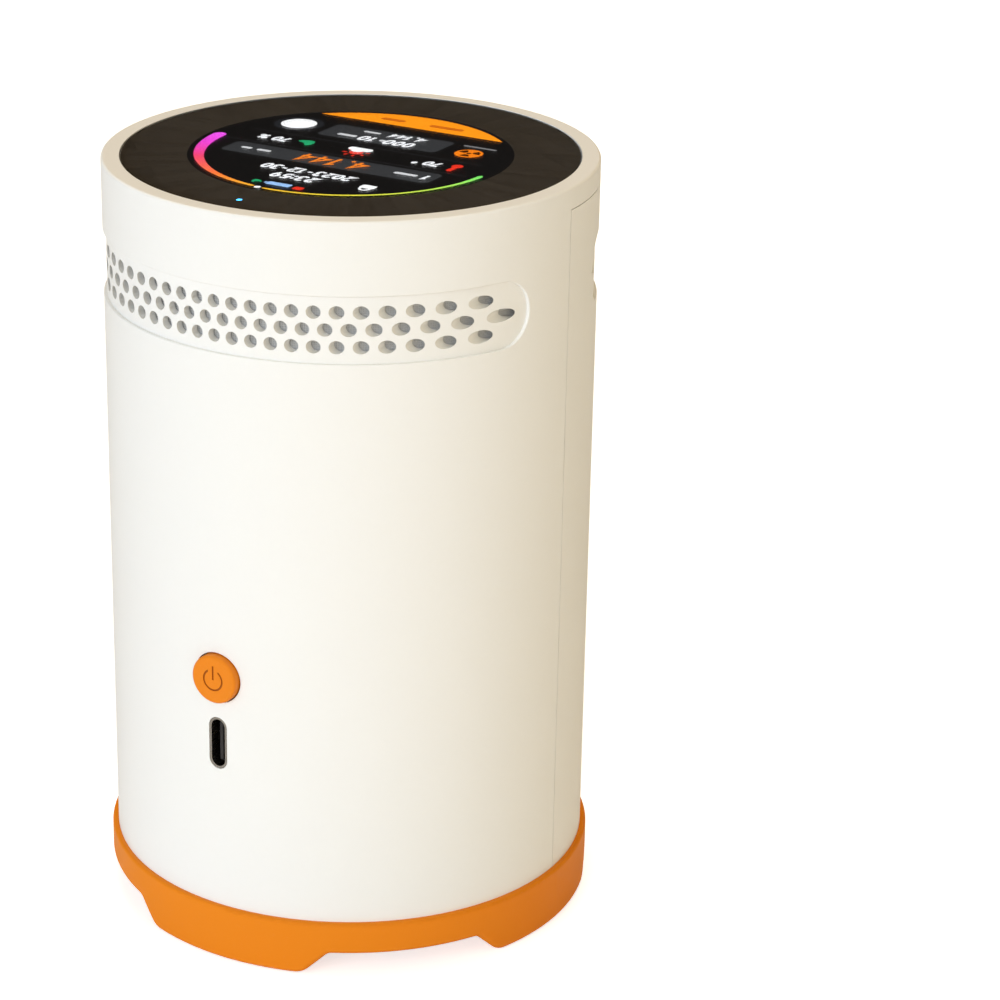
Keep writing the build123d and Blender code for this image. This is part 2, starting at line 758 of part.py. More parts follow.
with BuildPart() as centre_electrode:
    with BuildSketch(Plane.XY.offset(chamber_board_bottom - electrode_tail)):
        Circle(electrode_radius)
    extrude(amount=electrode_height + board_thickness + electrode_tail)
    fillet(centre_electrode.edges().sort_by(Axis.Z)[-1], electrode_radius * 0.8)
finish(centre_electrode, "centre_electrode")

with BuildPart() as amplifier_shield:
    with BuildSketch(Plane.XY.offset(chamber_board_bottom - shield_height)):
        RectangleRounded(shield_size, shield_size, shield_corner)
    extrude(amount=shield_height)
    shield_inside = shield_size - 2 * shield_wall
    with BuildSketch(Plane.XY.offset(chamber_board_bottom - shield_height + shield_wall)):
        RectangleRounded(shield_inside, shield_inside, shield_corner - shield_wall)
    extrude(amount=shield_height, mode=Mode.SUBTRACT)
finish(amplifier_shield, "amplifier_shield")

amplifier_chip = hang(7.0, 0.0, chamber_board_bottom, (5.0, 4.0, 1.5))
finish(amplifier_chip, "amplifier_chip")

with BuildPart() as chamber_screws:
    for x, y in chamber_screw_points:
        with Locations(Location((x, y, chamber_board_top + small_screw_head_height), (180, 0, 0))):
            add(board_screw)
finish(chamber_screws, "chamber_screws")

# Flat cable from the chamber's board up to the main board, with a socket at each end
ribbon_y = (chamber_board_radius + chamber_radius + chamber_wall) / 2
ribbon_socket_size = (ribbon_width + 2, 3.0, 2.2)
with BuildPart() as ribbon_sockets:
    with Locations(
        (0, ribbon_y, chamber_board_top), (0, ribbon_y, main_board_bottom - ribbon_socket_size[2])
    ):
        Box(*ribbon_socket_size, align=(Align.CENTER, Align.CENTER, Align.MIN))
finish(ribbon_sockets, "ribbon_sockets")

ribbon_start = chamber_board_top + ribbon_socket_size[2]
signal_ribbon = block_part(
    (0, ribbon_y, ribbon_start),
    (ribbon_width, ribbon_thickness, main_board_bottom - ribbon_socket_size[2] - ribbon_start),
)
finish(signal_ribbon, "signal_ribbon")

# ---- Power button: cap, flange and stem in one piece, and the switch behind it ------------
flange_radius = button_radius + button_gap + button_flange_width
flange_front = (inner_radius**2 - flange_radius**2) ** 0.5 - 2 * screw_gap
flange_back = flange_front - button_flange_thickness
stem_end = flange_back - button_stem_length
with BuildPart() as power_button:
    with BuildSketch(Plane.XZ.offset(flange_front)):
        with Locations((0, button_z)):
            Circle(button_radius)
    extrude(amount=body_radius + button_proud - flange_front)
    fillet(power_button.faces().sort_by(Axis.Y)[0].edges(), button_fillet)
    with BuildSketch(Plane.XZ.offset(flange_back)):
        with Locations((0, button_z)):
            Circle(flange_radius)
    extrude(amount=button_flange_thickness)
    with BuildSketch(Plane.XZ.offset(stem_end)):
        with Locations((0, button_z)):
            Circle(button_stem_radius)
    extrude(amount=flange_back - stem_end)
    # Sunk power symbol: a ring open at the top, and a bar that enters the opening
    with BuildSketch(Plane.XZ.offset(body_radius + button_proud)):
        with Locations((0, button_z)):
            Circle(symbol_radius + symbol_stroke / 2)
            Circle(symbol_radius - symbol_stroke / 2, mode=Mode.SUBTRACT)
            opening = 2 * symbol_radius * sin(radians(symbol_gap_angle))
            Rectangle(
                opening, 2 * symbol_radius, align=(Align.CENTER, Align.MIN), mode=Mode.SUBTRACT
            )
            Rectangle(symbol_stroke, symbol_bar, align=(Align.CENTER, Align.MIN))
    extrude(amount=-symbol_depth, mode=Mode.SUBTRACT)
finish(power_button, "power_button")

io_face = socket_width / 2
switch_front = stem_end - plunger_length / 2
with BuildPart() as switch_body:
    with BuildSketch(Plane.XZ.offset(switch_front)):
        with Locations((0, button_z)):
            Rectangle(socket_width, switch_width)
    extrude(amount=-switch_depth)
    with BuildSketch(Plane.XZ.offset(switch_front)):
        with Locations((0, button_z)):
            Circle(plunger_radius + plunger_fit)
    extrude(amount=-(plunger_length / 2 + button_travel + fit_gap), mode=Mode.SUBTRACT)
finish(switch_body, "switch_body")

with BuildPart() as switch_plunger:
    with BuildSketch(Plane.XZ.offset(stem_end)):
        with Locations((0, button_z)):
            Circle(plunger_radius)
    extrude(amount=-plunger_length)
finish(switch_plunger, "switch_plunger")

# ---- Charging socket ----------------------------------------------------------------------
socket_mouth = body_radius - socket_recess
with BuildPart() as usb_shell:
    with BuildSketch(Plane.XZ.offset(socket_mouth)):
        with Locations((0, socket_z)):
            SlotOverall(socket_length, socket_width, rotation=90)
            SlotOverall(
                socket_length - 2 * socket_wall,
                socket_width - 2 * socket_wall,
                rotation=90,
                mode=Mode.SUBTRACT,
            )
    extrude(amount=-socket_depth)
finish(usb_shell, "usb_shell")

with BuildPart() as usb_tongue:
    with BuildSketch(Plane.XZ.offset(socket_mouth - socket_depth)):
        with Locations((0, socket_z)):
            SlotOverall(
                socket_length - 2 * (socket_wall + screw_gap),
                socket_width - 2 * (socket_wall + screw_gap),
                rotation=90,
            )
    extrude(amount=socket_block_depth)
    with BuildSketch(Plane.XZ.offset(socket_mouth - socket_depth)):
        with Locations((0, socket_z)):
            Rectangle(contact_tongue_thickness, tongue_width)
    extrude(amount=socket_depth - contact_tongue_recess)
    fillet(
        usb_tongue.faces().sort_by(Axis.Y)[0].edges().filter_by(Axis.Z),
        contact_tongue_thickness * 0.25,
    )
finish(usb_tongue, "usb_tongue")

# ---- Upright board that carries the socket and the switch -----------------------------------
io_front = sqrt(inner_radius**2 - (io_face + board_thickness) ** 2) - io_wall_gap
io_step_z = button_z - flange_radius - 1
io_low = socket_z - io_board_below
io_high = button_z + io_board_above
io_back = io_front - io_board_length
fin_front = switch_front - fin_setback
fin_back = fin_front - fin_length
io_screw_y = -(fin_front + fin_back) / 2
io_screw_levels = (io_low + fin_screw_rise, deck_z - fin_screw_drop)
with BuildPart() as io_board:
    with BuildSketch(Plane.YZ.offset(io_face)):
        with BuildLine():
            Polyline(
                (-io_front, io_low),
                (-io_back, io_low),
                (-io_back, io_high),
                (-switch_front, io_high),
                (-switch_front, io_step_z),
                (-io_front, io_step_z),
                close=True,
            )
        make_face()
        with Locations(*[(io_screw_y, level) for level in io_screw_levels]):
            Circle(small_screw_radius + fit_gap, mode=Mode.SUBTRACT)
    extrude(amount=board_thickness)
finish(io_board, "io_board")
io_back_face = io_face + board_thickness

fin_screw = screw(
    small_screw_radius,
    small_screw_head_radius,
    small_screw_head_height,
    board_thickness + small_screw_bite / 2,
)
with BuildPart() as io_board_screws:
    for level in io_screw_levels:
        with Locations(Location((io_face - small_screw_head_height, io_screw_y, level), (0, 90, 0))):
            add(fin_screw)
finish(io_board_screws, "io_board_screws")

charger_size = (1.0, 4.0, 4.0)
charger_place = (io_face - charger_size[0] / 2, -io_back - 8, io_low + 2)
charge_controller = block_part(charger_place, charger_size)
finish(charge_controller, "charge_controller")

inductor_size = (2.8, 5.0, 5.0)
inductor_place = (io_face - inductor_size[0] / 2, -io_back - 4, io_low + 9)
power_inductor = block_part(inductor_place, inductor_size)
finish(power_inductor, "power_inductor")

# Short link from this board's top to the chamber's board
link_socket = (2.4, link_width + 2, 2.0)
link_x = io_back_face + link_socket[0] / 2
link_y = -io_back - link_inset
link_low = deck_top + link_gap
link_high = chamber_board_bottom - link_socket[2]
with BuildPart() as link_sockets:
    with Locations((link_x, link_y, link_low), (link_x, link_y, link_high)):
        Box(*link_socket, align=(Align.CENTER, Align.CENTER, Align.MIN))
finish(link_sockets, "link_sockets")

link_start = link_low + link_socket[2]
link_ribbon = block_part(
    (link_x, link_y, link_start), (ribbon_thickness, link_width, link_high - link_start)
)
finish(link_ribbon, "link_ribbon")

# ---- Chassis: deck on four legs, with posts for the chamber and a fin for the upright board -
with BuildPart() as chassis:
    with BuildSketch(Plane.XY.offset(deck_z)):
        Circle(deck_radius)
    extrude(amount=deck_thickness)
    with BuildSketch(Plane.XY.offset(floor_top)):
        with Locations(*leg_points):
            Circle(leg_radius)
    extrude(amount=deck_z - floor_top)
    with BuildSketch(Plane.XY.offset(deck_top)):
        with Locations(*chamber_screw_points):
            Circle(post_radius)
    extrude(amount=chamber_stand)
    fin_foot = io_screw_levels[0] - fin_screw_drop
    with BuildSketch(Plane.XY.offset(fin_foot)):
        with Locations((io_back_face, -fin_front)):
            Rectangle(fin_thickness, fin_length, align=(Align.MIN, Align.MIN))
    extrude(amount=deck_z - fin_foot)
    # Slot that the upright board stands in, open to the front
    with BuildSketch(Plane.XY.offset(deck_z)):
        with Locations((io_back_face + fit_gap, -io_back + fit_gap)):
            Rectangle(io_slot_width, deck_radius, align=(Align.MAX, Align.MAX))
    extrude(amount=deck_thickness, mode=Mode.SUBTRACT)
    # Flat on the deck's edge, so that the button's flange has room to be pressed
    with BuildSketch(Plane.XY.offset(deck_z)):
        with Locations((0, button_travel + flange_room - flange_back)):
            Rectangle(2 * (flange_radius + flange_room), deck_radius, align=(Align.CENTER, Align.MAX))
    extrude(amount=deck_thickness, mode=Mode.SUBTRACT)
    with Locations(*[(x, y, floor_top) for x, y in leg_points]):
        Cylinder(screw_radius + screw_gap, 2 * leg_hole, mode=Mode.SUBTRACT)
    with Locations(*[(x, y, chamber_board_bottom) for x, y in chamber_screw_points]):
        Cylinder(small_screw_radius + screw_gap, 2 * small_screw_bite, mode=Mode.SUBTRACT)
    with Locations(
        *[Location((io_back_face, io_screw_y, level), (0, 90, 0)) for level in io_screw_levels]
    ):
        Cylinder(small_screw_radius + screw_gap, 4 * fin_thickness, mode=Mode.SUBTRACT)
finish(chassis, "chassis")

leg_screw = screw(
    screw_radius, screw_head_radius, screw_head_height, floor_top + leg_screw_bite - screw_seat_z
)
with BuildPart() as chassis_screws:
    with Locations(*[(x, y, floor_bottom + screw_gap) for x, y in leg_points]):
        add(leg_screw)
finish(chassis_screws, "chassis_screws")

# ---- Rechargeable cell in its cradle --------------------------------------------------------
cell_r = cell_diameter / 2
cell_z = floor_top + cradle_floor + fit_gap + cell_r
cradle_inner = cell_length + 2 * (contact_thickness + fit_gap)
with BuildPart() as battery_cradle:
    with BuildSketch(Plane.XY.offset(floor_top)):
        RectangleRounded(
            cradle_inner + 2 * cradle_wall, 2 * (cell_r + fit_gap + cradle_wall), 4.0
        )
    extrude(amount=cell_z - floor_top)
    with Locations(Location((0, 0, cell_z), (0, 90, 0))):
        Cylinder(cell_r + fit_gap, cradle_inner, mode=Mode.SUBTRACT)
finish(battery_cradle, "battery_cradle")

nub_radius = 3.0
with BuildPart() as battery_cell:
    with Locations(Location((-nub_height / 2, 0, cell_z), (0, 90, 0))):
        Cylinder(cell_r, cell_length - nub_height)
    fillet(battery_cell.edges().filter_by(GeomType.CIRCLE), component_edge)
    with Locations(Location((cell_length / 2 - nub_height / 2, 0, cell_z), (0, 90, 0))):
        Cylinder(nub_radius, nub_height)
finish(battery_cell, "battery_cell")

contact_size = (contact_thickness, cell_r, cell_diameter * 0.92)
contact_x = cell_length / 2 + contact_thickness / 2
contact_base = cell_z - cell_r * 0.82
with BuildPart() as battery_contacts:
    with Locations((-contact_x, 0, contact_base), (contact_x, 0, contact_base)):
        Box(*contact_size, align=(Align.CENTER, Align.CENTER, Align.MIN))
finish(battery_contacts, "battery_contacts")

plug_size = (3.6, 3.4, 5.4)
lead_socket_size = (3.6, 4.6, 6.4)
lead_z = socket_z
lead_x = io_back_face + plug_size[0] / 2
battery_socket = block_part(
    (lead_x, -io_back - lead_socket_size[1] / 2, lead_z - lead_socket_size[2] / 2), lead_socket_size
)
finish(battery_socket, "battery_socket")
battery_plug = block_part(
    (lead_x, -io_back + plug_size[1] / 2, lead_z - plug_size[2] / 2), plug_size
)
finish(battery_plug, "battery_plug")

# Two leads: from the top of each contact, up, across and into the plug
lead_start_z = contact_base + contact_size[2]
plug_back = -io_back + plug_size[1]
lead_routes = [
    [
        (contact_x, 0, lead_start_z),
        (contact_x, 0, lead_start_z + 6),
        (contact_x * 0.55, plug_back + 6, lead_z + 3),
        (lead_x, plug_back + 5, lead_z + 1),
        (lead_x, plug_back, lead_z + 1),
    ],
    [
        (-contact_x, 0, lead_start_z),
        (-contact_x, 0, lead_start_z + 6),
        (-contact_x * 0.5, plug_back + 9, lead_z - 3),
        (lead_x, plug_back + 6, lead_z - 1),
        (lead_x, plug_back, lead_z - 1),
    ],
]
with BuildPart() as battery_leads:
    for route in lead_routes:
        with BuildLine() as lead_path:
            FilletPolyline(*route, radius=4 * wire_radius)
        with BuildSketch(Plane(origin=route[0], z_dir=(0, 0, 1))):
            Circle(wire_radius)
        sweep(path=lead_path.wires()[0])
finish(battery_leads, "battery_leads")
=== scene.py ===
"""Looks of a table-top air quality monitor: finishes for its CAD nodes, the lit picture under
the glass, the contacts in the socket, and a plain studio.

Metres, in the frame of the CAD model: +Z up, the button and the socket face -Y. The picture
is read from the +Y side, so its own axes are u to the reader's right and v up the picture,
and a point (u, v) lies at x = -u, y = -v.
"""

import math

import bmesh
import bpy
import numpy as np
from bpy.props import FloatProperty, FloatVectorProperty, PointerProperty
from mathutils import Matrix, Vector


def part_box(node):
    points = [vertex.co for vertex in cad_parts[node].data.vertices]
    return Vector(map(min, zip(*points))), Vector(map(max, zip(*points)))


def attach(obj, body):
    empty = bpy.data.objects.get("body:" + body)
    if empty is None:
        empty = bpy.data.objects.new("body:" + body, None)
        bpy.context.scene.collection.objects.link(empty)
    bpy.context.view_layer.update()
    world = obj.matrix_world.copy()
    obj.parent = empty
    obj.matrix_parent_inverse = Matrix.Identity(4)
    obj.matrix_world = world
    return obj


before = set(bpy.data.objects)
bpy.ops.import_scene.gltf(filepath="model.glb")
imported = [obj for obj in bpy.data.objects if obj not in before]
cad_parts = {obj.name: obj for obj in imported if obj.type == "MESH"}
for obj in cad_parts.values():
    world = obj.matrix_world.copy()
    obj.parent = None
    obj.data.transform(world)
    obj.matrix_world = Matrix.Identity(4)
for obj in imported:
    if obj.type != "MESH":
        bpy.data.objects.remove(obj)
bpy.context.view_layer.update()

bl_info = {
    "name": "Air quality monitor",
    "version": (1, 0, 0),
    "blender": (4, 5, 0),
    "location": "View3D > Sidebar > Monitor",
    "description": "Finishes, lit picture and studio for a table-top air quality monitor",
    "category": "Object",
}

MM = 0.001

mask_low, mask_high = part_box("glass_mask")
tongue_low, tongue_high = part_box("usb_tongue")
pipe_low, pipe_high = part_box("light_pipe")
base_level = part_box("base")[0].z
cell_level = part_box("display_cell")[1].z
film = (mask_high.z - mask_low.z) / 10  # thickness of one layer of the picture

BLACK = (0.0, 0.0, 0.0)


def shade(red, green, blue):
    """A display colour, 0 to 255 a channel, as the linear colour that materials hold."""
    value = np.array((red, green, blue)) / 255
    linear = np.where(value <= 0.04045, value / 12.92, ((value + 0.055) / 1.055) ** 2.4)
    return tuple(float(channel) for channel in linear)


# ---- What a user would change ----


def colour_property(name, description, default):
    """A colour that a user can set."""
    return FloatVectorProperty(
        name=name, description=description, default=default, subtype="COLOR", min=0.0, max=1.0
    )


def length_property(name, description, default):
    """A length that a user can set."""
    return FloatProperty(name=name, description=description, default=default, unit="LENGTH")


def angle_property(name, description, degrees):
    """An angle that a user can set."""
    turn = math.radians(degrees)
    return FloatProperty(name=name, description=description, default=turn, subtype="ANGLE")


def number_property(name, description, default, **limits):
    """A plain number that a user can set."""
    return FloatProperty(name=name, description=description, default=default, **limits)


class MonitorFinish(bpy.types.PropertyGroup):
    """Colours and surfaces of the case, the base and the button."""

    case_colour: colour_property("Case", "Warm white of the moulded case", (0.87, 0.86, 0.832))
    accent_colour: colour_property(
        "Accent", "Orange of the base and the button", (0.81, 0.232, 0.010)
    )
    # Painted shade: a deeper orange laid at the bottom of the button's sunk symbol, where shade
    # falls in the recess
    symbol_shade_colour: colour_property(
        "Symbol", "Orange at the bottom of the sunk symbol", (0.36, 0.085, 0.006)
    )
    print_colour: colour_property(
        "Glass print", "Brown-black print under the glass", (0.112, 0.102, 0.088)
    )
    case_roughness: number_property(
        "Case roughness", "Satin of the case", 0.42, min=0.0, max=1.0
    )
    grain: length_property("Grain", "Size of the moulded grain", 0.35 * MM)


class MonitorScreen(bpy.types.PropertyGroup):
    """Sizes and colours of the lit picture."""

    gauge_radius: length_property("Gauge radius", "Middle of the gauge's arc", 24.6 * MM)
    gauge_thick: length_property("Gauge, thick end", "Width at the high end", 2.3 * MM)
    gauge_thin: length_property("Gauge, thin end", "Width from the pointer down", 0.55 * MM)
    panel_radius: length_property("Panel corners", "Corner radius of the panels", 1.1 * MM)
    pixel: length_property("Pixel", "Pitch of the picture's dots", 0.11 * MM)
    brightness: number_property(
        "Brightness", "How strongly the picture shines", 1.9, min=0.0
    )
    reading_colour: colour_property("Reading", "Orange of the reading", shade(240, 128, 36))
    text_colour: colour_property("Numerals", "White of the other numerals", shade(238, 240, 244))
    segment_colour: colour_property("Segment", "Orange field", shade(255, 150, 26))
    panel_colour: colour_property("Panel", "Grey of the panels", shade(52, 53, 55))


class MonitorStage(bpy.types.PropertyGroup):
    """Camera and light."""

    camera_distance: length_property("Distance", "Camera to the object's axis, level", 0.482)
    camera_height: length_property("Height", "Camera above the floor", 0.2585)
    camera_turn: angle_property("Turn", "Camera to the right of the button", 31.8)
    camera_pitch: angle_property("Pitch", "Camera tilted down", 21.613)
    camera_roll: angle_property("Roll", "Camera turned on its own axis", 0.124)
    camera_lens: number_property("Lens", "Focal length in millimetres", 111.65, min=1.0)
    camera_shift: number_property("Shift", "Frame to the right, in widths", 0.15)
    key_power: number_property("Key light", "Soft light from the front left", 2.05, min=0.0)
    surround: number_property("Surround", "Even light from all round", 0.88, min=0.0)


# ---- Meshes ----


def grid_faces(rows, columns, close_rows=False, close_columns=False):
    """Quads of a grid of points: point (i, j) has the index i * columns + j."""
    i = np.arange(rows if close_rows else rows - 1)[:, None]
    j = np.arange(columns if close_columns else columns - 1)[None, :]
    below, beside = (i + 1) % rows, (j + 1) % columns
    corners = (i * columns + j, i * columns + beside, below * columns + beside, below * columns + j)
    return np.stack(np.broadcast_arrays(*corners), -1).reshape(-1, 4).tolist()


def arc(centre_u, centre_v, radius_u, radius_v, start, end, count=16):
    """Points of an ellipse's arc: centre + radius * (cos, sin) of even angles, in degrees."""
    turn = np.radians(np.linspace(start, end, count))
    return np.stack([centre_u + radius_u * np.cos(turn), centre_v + radius_v * np.sin(turn)], 1)


def ring(centre_u, centre_v, radius, count=40):
    """Points round a full circle, the first not repeated."""
    return arc(centre_u, centre_v, radius, radius, 0, 360, count + 1)[:-1]


def rounded_box(centre_u, centre_v, width, height, corner):
    """Outline of a rectangle with round corners: four quarter circles, counterclockwise."""
    u, v = width / 2 - corner, height / 2 - corner
    return np.concatenate([
        arc(centre_u + du, centre_v + dv, corner, corner, start, start + 90, 8)
        for du, dv, start in ((u, v, 0), (-u, v, 90), (-u, -v, 180), (u, -v, 270))
    ])


SHARPEST = 0.45  # least cosine of half a turn, past which a ribbon's corner grows no longer


def carry(path, width, closed=False):
    """A ribbon: a line across the path, as wide as width, carried along it. Each point is
    path +- width / 2 * normal, the normal being the tangent turned by a right angle and
    lengthened at a corner by 1 / cos(half the turn)."""
    path = np.asarray(path, float)
    width = np.broadcast_to(width, len(path))
    step = np.diff(np.concatenate([path, path[:1]]) if closed else path, axis=0)
    step /= np.linalg.norm(step, axis=1, keepdims=True)
    before = np.concatenate([step[-1:], step[:-1]] if closed else [step[:1], step])
    after = step if closed else np.concatenate([step, step[-1:]])
    normal = np.stack([-(before + after)[:, 1], (before + after)[:, 0]], 1)
    normal /= np.linalg.norm(normal, axis=1, keepdims=True)
    across = np.stack([-after[:, 1], after[:, 0]], 1)
    normal /= np.clip((normal * across).sum(1), SHARPEST, 1)[:, None]
    half = normal * width[:, None] / 2
    return np.stack([path + half, path - half], 1), closed


def ribbon_shape(ribbon, low, high):
    """A closed bar from a ribbon: its rectangle's four corners on a grid along the path,
    with an end face at each end of an open path."""
    sides, closed = ribbon
    left, right = sides[:, 0], sides[:, 1]
    rows = len(left)
    level = np.array((low, low, high, high))
    flat = np.stack([left, right, right, left], 1)
    points = np.concatenate([flat, np.broadcast_to(level[None, :, None], (rows, 4, 1))], 2)
    faces = grid_faces(rows, 4, close_rows=closed, close_columns=True)
    if not closed:
        last = 4 * (rows - 1)
        faces += [[0, 1, 2, 3], [last + 3, last + 2, last + 1, last]]
    return points.reshape(-1, 3), faces


def plate_shape(outline, low, high):
    """A closed plate: an outline at two levels, joined by a band of quads and capped."""
    outline = np.asarray(outline, float)
    count = len(outline)
    points = [np.column_stack([outline, np.full(count, level)]) for level in (low, high)]
    faces = grid_faces(2, count, close_columns=True)
    faces += [list(range(count)), list(range(2 * count - 1, count - 1, -1))]
    return np.concatenate(points), faces


def join(shapes):
    """Several shapes as one list of points and one of faces."""
    points, faces, start = [], [], 0
    for shape_points, shape_faces in shapes:
        points.append(shape_points)
        faces += [[start + index for index in face] for face in shape_faces]
        start += len(shape_points)
    return np.concatenate(points), faces


def new_object(name, data):
    """A new object in the scene."""
    made = bpy.data.objects.new(name, data)
    bpy.context.scene.collection.objects.link(made)
    return made


def make_piece(name, shapes, body, material):
    """A mesh object of closed shapes, with its faces pointing outwards."""
    points, faces = join(shapes)
    mesh = bpy.data.meshes.new(name)
    mesh.from_pydata(points.tolist(), [], faces)
    edit = bmesh.new()
    edit.from_mesh(mesh)
    bmesh.ops.recalc_face_normals(edit, faces=edit.faces)
    edit.to_mesh(mesh)
    edit.free()
    mesh.materials.append(material)
    piece = new_object(name, mesh)
    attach(piece, body)
    return piece


def picture_level(layer):
    """Lowest and highest point of a layer of the picture, counted up from the display."""
    low = cell_level + film * (0.5 + 2 * layer)
    return low, low + film


def picture_piece(name, layer, parts, material):
    """A piece of the lit picture. parts are ribbons and outlines in (u, v), in millimetres."""
    low, high = picture_level(layer)
    shapes = []
    for part in parts:
        if isinstance(part, tuple):
            sides, closed = part
            shapes.append(ribbon_shape((-sides * MM, closed), low, high))
        else:
            shapes.append(plate_shape(-np.asarray(part) * MM, low, high))
    return make_piece(name, shapes, "case", material)


# ---- Numerals ----
# Strokes of each sign in a cell 0.6 wide and 1 high.


def run(*points):
    """A path of straight runs, and of arcs given as arrays."""
    return np.concatenate([np.atleast_2d(point) for point in points])


SIGNS = {
    "0": [arc(0.30, 0.50, 0.21, 0.41, 90, 450, 25)],
    "1": [run((0.16, 0.74), (0.35, 0.90), (0.35, 0.05))],
    "2": [run(arc(0.30, 0.68, 0.21, 0.23, 165, -38), (0.09, 0.10), (0.54, 0.10))],
    "3": [
        arc(0.29, 0.71, 0.19, 0.20, 155, -88),
        arc(0.29, 0.30, 0.22, 0.22, 88, -155),
    ],
    "4": [run((0.42, 0.05), (0.42, 0.88), (0.07, 0.32), (0.56, 0.32))],
    "5": [run((0.50, 0.90), (0.16, 0.90), (0.13, 0.53), arc(0.28, 0.33, 0.22, 0.24, 112, -150))],
    "7": [run((0.07, 0.90), (0.52, 0.90), (0.24, 0.05))],
    "9": [arc(0.30, 0.66, 0.20, 0.25, 0, 360, 25), run((0.50, 0.62), (0.47, 0.36), (0.30, 0.06))],
    "-": [run((0.12, 0.48), (0.44, 0.48))],
    "%": [
        arc(0.16, 0.76, 0.10, 0.13, 0, 360, 17),
        arc(0.60, 0.24, 0.10, 0.13, 0, 360, 17),
        run((0.58, 0.92), (0.18, 0.08)),
    ],
    "degree": [arc(0.14, 0.80, 0.10, 0.12, 0, 360, 17)],
}
DOTS = {".": [(0.10, 0.08)], ":": [(0.14, 0.26), (0.14, 0.70)]}
ADVANCE = {".": 0.30, ":": 0.34, " ": 0.34, "-": 0.56, "%": 0.80, "degree": 0.34, "1": 0.58}
NORMAL_ADVANCE = 0.68
SLANT = 0.14
DOT_SIZE = 0.62  # a dot's radius, in widths of a stroke


def numerals(signs, centre_u, centre_v, height, weight):
    """Ribbons for a row of signs, centred on a point: each stroke is scaled by height, set
    beside the last sign, and leant by SLANT times its height above the middle."""
    advances = [ADVANCE.get(sign, NORMAL_ADVANCE) for sign in signs]
    pens = np.concatenate([[0], np.cumsum(advances)[:-1]]) - sum(advances) / 2

    def place(points, pen):
        u = points[:, 0] + pen + SLANT * (points[:, 1] - 0.5)
        return np.stack([centre_u + height * u, centre_v + height * (points[:, 1] - 0.5)], 1)

    parts = []
    for sign, pen in zip(signs, pens):
        for stroke in SIGNS.get(sign, []):
            loop = np.allclose(stroke[0], stroke[-1])
            path = place(stroke[:-1] if loop else stroke, pen)
            parts.append(carry(path, weight * height, closed=loop))
        for dot in DOTS.get(sign, []):
            centre = place(np.array([dot]), pen)[0]
            parts.append(ring(*centre, DOT_SIZE * weight * height, 12))
    return parts


# ---- Node tools ----


def feed(tree, target, values):
    """Give a node its inputs, each as a value or as a socket to link."""
    for key, value in values.items():
        if isinstance(value, bpy.types.NodeSocket):
            tree.links.new(value, target.inputs[key])
        else:
            target.inputs[key].default_value = value


def node(tree, kind, values=None, **settings):
    """A node of this kind, with its settings and its inputs."""
    made = tree.nodes.new(kind)
    for key, value in settings.items():
        setattr(made, key, value)
    feed(tree, made, values or {})
    return made


def math_node(tree, operation, *values):
    """The result of a Math node."""
    return node(tree, "ShaderNodeMath", dict(enumerate(values)), operation=operation).outputs[0]


def product(tree, first, second):
    """Two numbers multiplied."""
    return math_node(tree, "MULTIPLY", first, second)


def axes(tree, place):
    """The X, Y and Z of a place."""
    return node(tree, "ShaderNodeSeparateXYZ", {0: place}).outputs


def remap(tree, value, low, high, to_low=0.0, to_high=1.0, smooth=False):
    """A value moved from one range to another, and held inside it."""
    kind = "SMOOTHSTEP" if smooth else "LINEAR"
    values = {"Value": value, "From Min": low, "From Max": high}
    values.update({"To Min": to_low, "To Max": to_high})
    return node(tree, "ShaderNodeMapRange", values, interpolation_type=kind).outputs["Result"]


def blend_colours(tree, factor, first, second, kind="MIX"):
    """Two colours mixed by a factor, each given as a colour or as a socket."""
    values = {0: factor}
    for key, colour in ((6, first), (7, second)):
        values[key] = colour if isinstance(colour, bpy.types.NodeSocket) else (*colour, 1.0)
    return node(tree, "ShaderNodeMix", values, data_type="RGBA", blend_type=kind).outputs[2]


def noise(tree, place, scale, detail=2.0):
    """The value of a Noise texture."""
    values = {"Vector": place, "Scale": scale, "Detail": detail}
    return node(tree, "ShaderNodeTexNoise", values).outputs["Fac"]


def new_group(name, inputs, outputs):
    """A shader node group with a Vector input, named number inputs and named outputs."""
    tree = bpy.data.node_groups.new(name, "ShaderNodeTree")

    def add(label, in_out, kind="NodeSocketFloat"):
        return tree.interface.new_socket(name=label, in_out=in_out, socket_type=kind)

    add("Vector", "INPUT", "NodeSocketVector")
    for label, default in inputs.items():
        add(label, "INPUT").default_value = default
    for label in outputs:
        add(label, "OUTPUT")
    return tree, node(tree, "NodeGroupInput").outputs, node(tree, "NodeGroupOutput")


def scaled(tree, vector, scale):
    """A vector divided by a length, so that one unit is one repeat of a pattern."""
    inverse = math_node(tree, "DIVIDE", 1.0, scale)
    values = {0: vector, "Scale": inverse}
    return node(tree, "ShaderNodeVectorMath", values, operation="SCALE").outputs[0]


def group_moulded_grain():
    """Fine grain of a moulded or spark-eroded surface: small cells over softer noise."""
    tree, given, result = new_group("Moulded grain", {"Size": 0.0004}, ("Height", "Tone"))
    place = scaled(tree, given["Vector"], given["Size"])
    cells = node(tree, "ShaderNodeTexVoronoi", {"Vector": place, "Scale": 1.0}, feature="SMOOTH_F1")
    soft = noise(tree, place, 0.45, 4.0)
    height = math_node(tree, "ADD", cells.outputs["Distance"], soft)
    feed(tree, result, {"Height": product(tree, height, 0.5), "Tone": soft})
    return tree


def group_handling():
    """Marks of use: broad patches where hands polish the surface, and thin dust between."""
    tree, given, result = new_group("Handling", {"Size": 0.02}, ("Polish", "Dust"))
    place = scaled(tree, given["Vector"], given["Size"])
    polish = remap(tree, noise(tree, place, 1.0, 3.0), 0.42, 0.68, smooth=True)
    dust = remap(tree, noise(tree, place, 38.0), 0.60, 0.78, smooth=True)
    feed(tree, result, {"Polish": polish, "Dust": dust})
    return tree


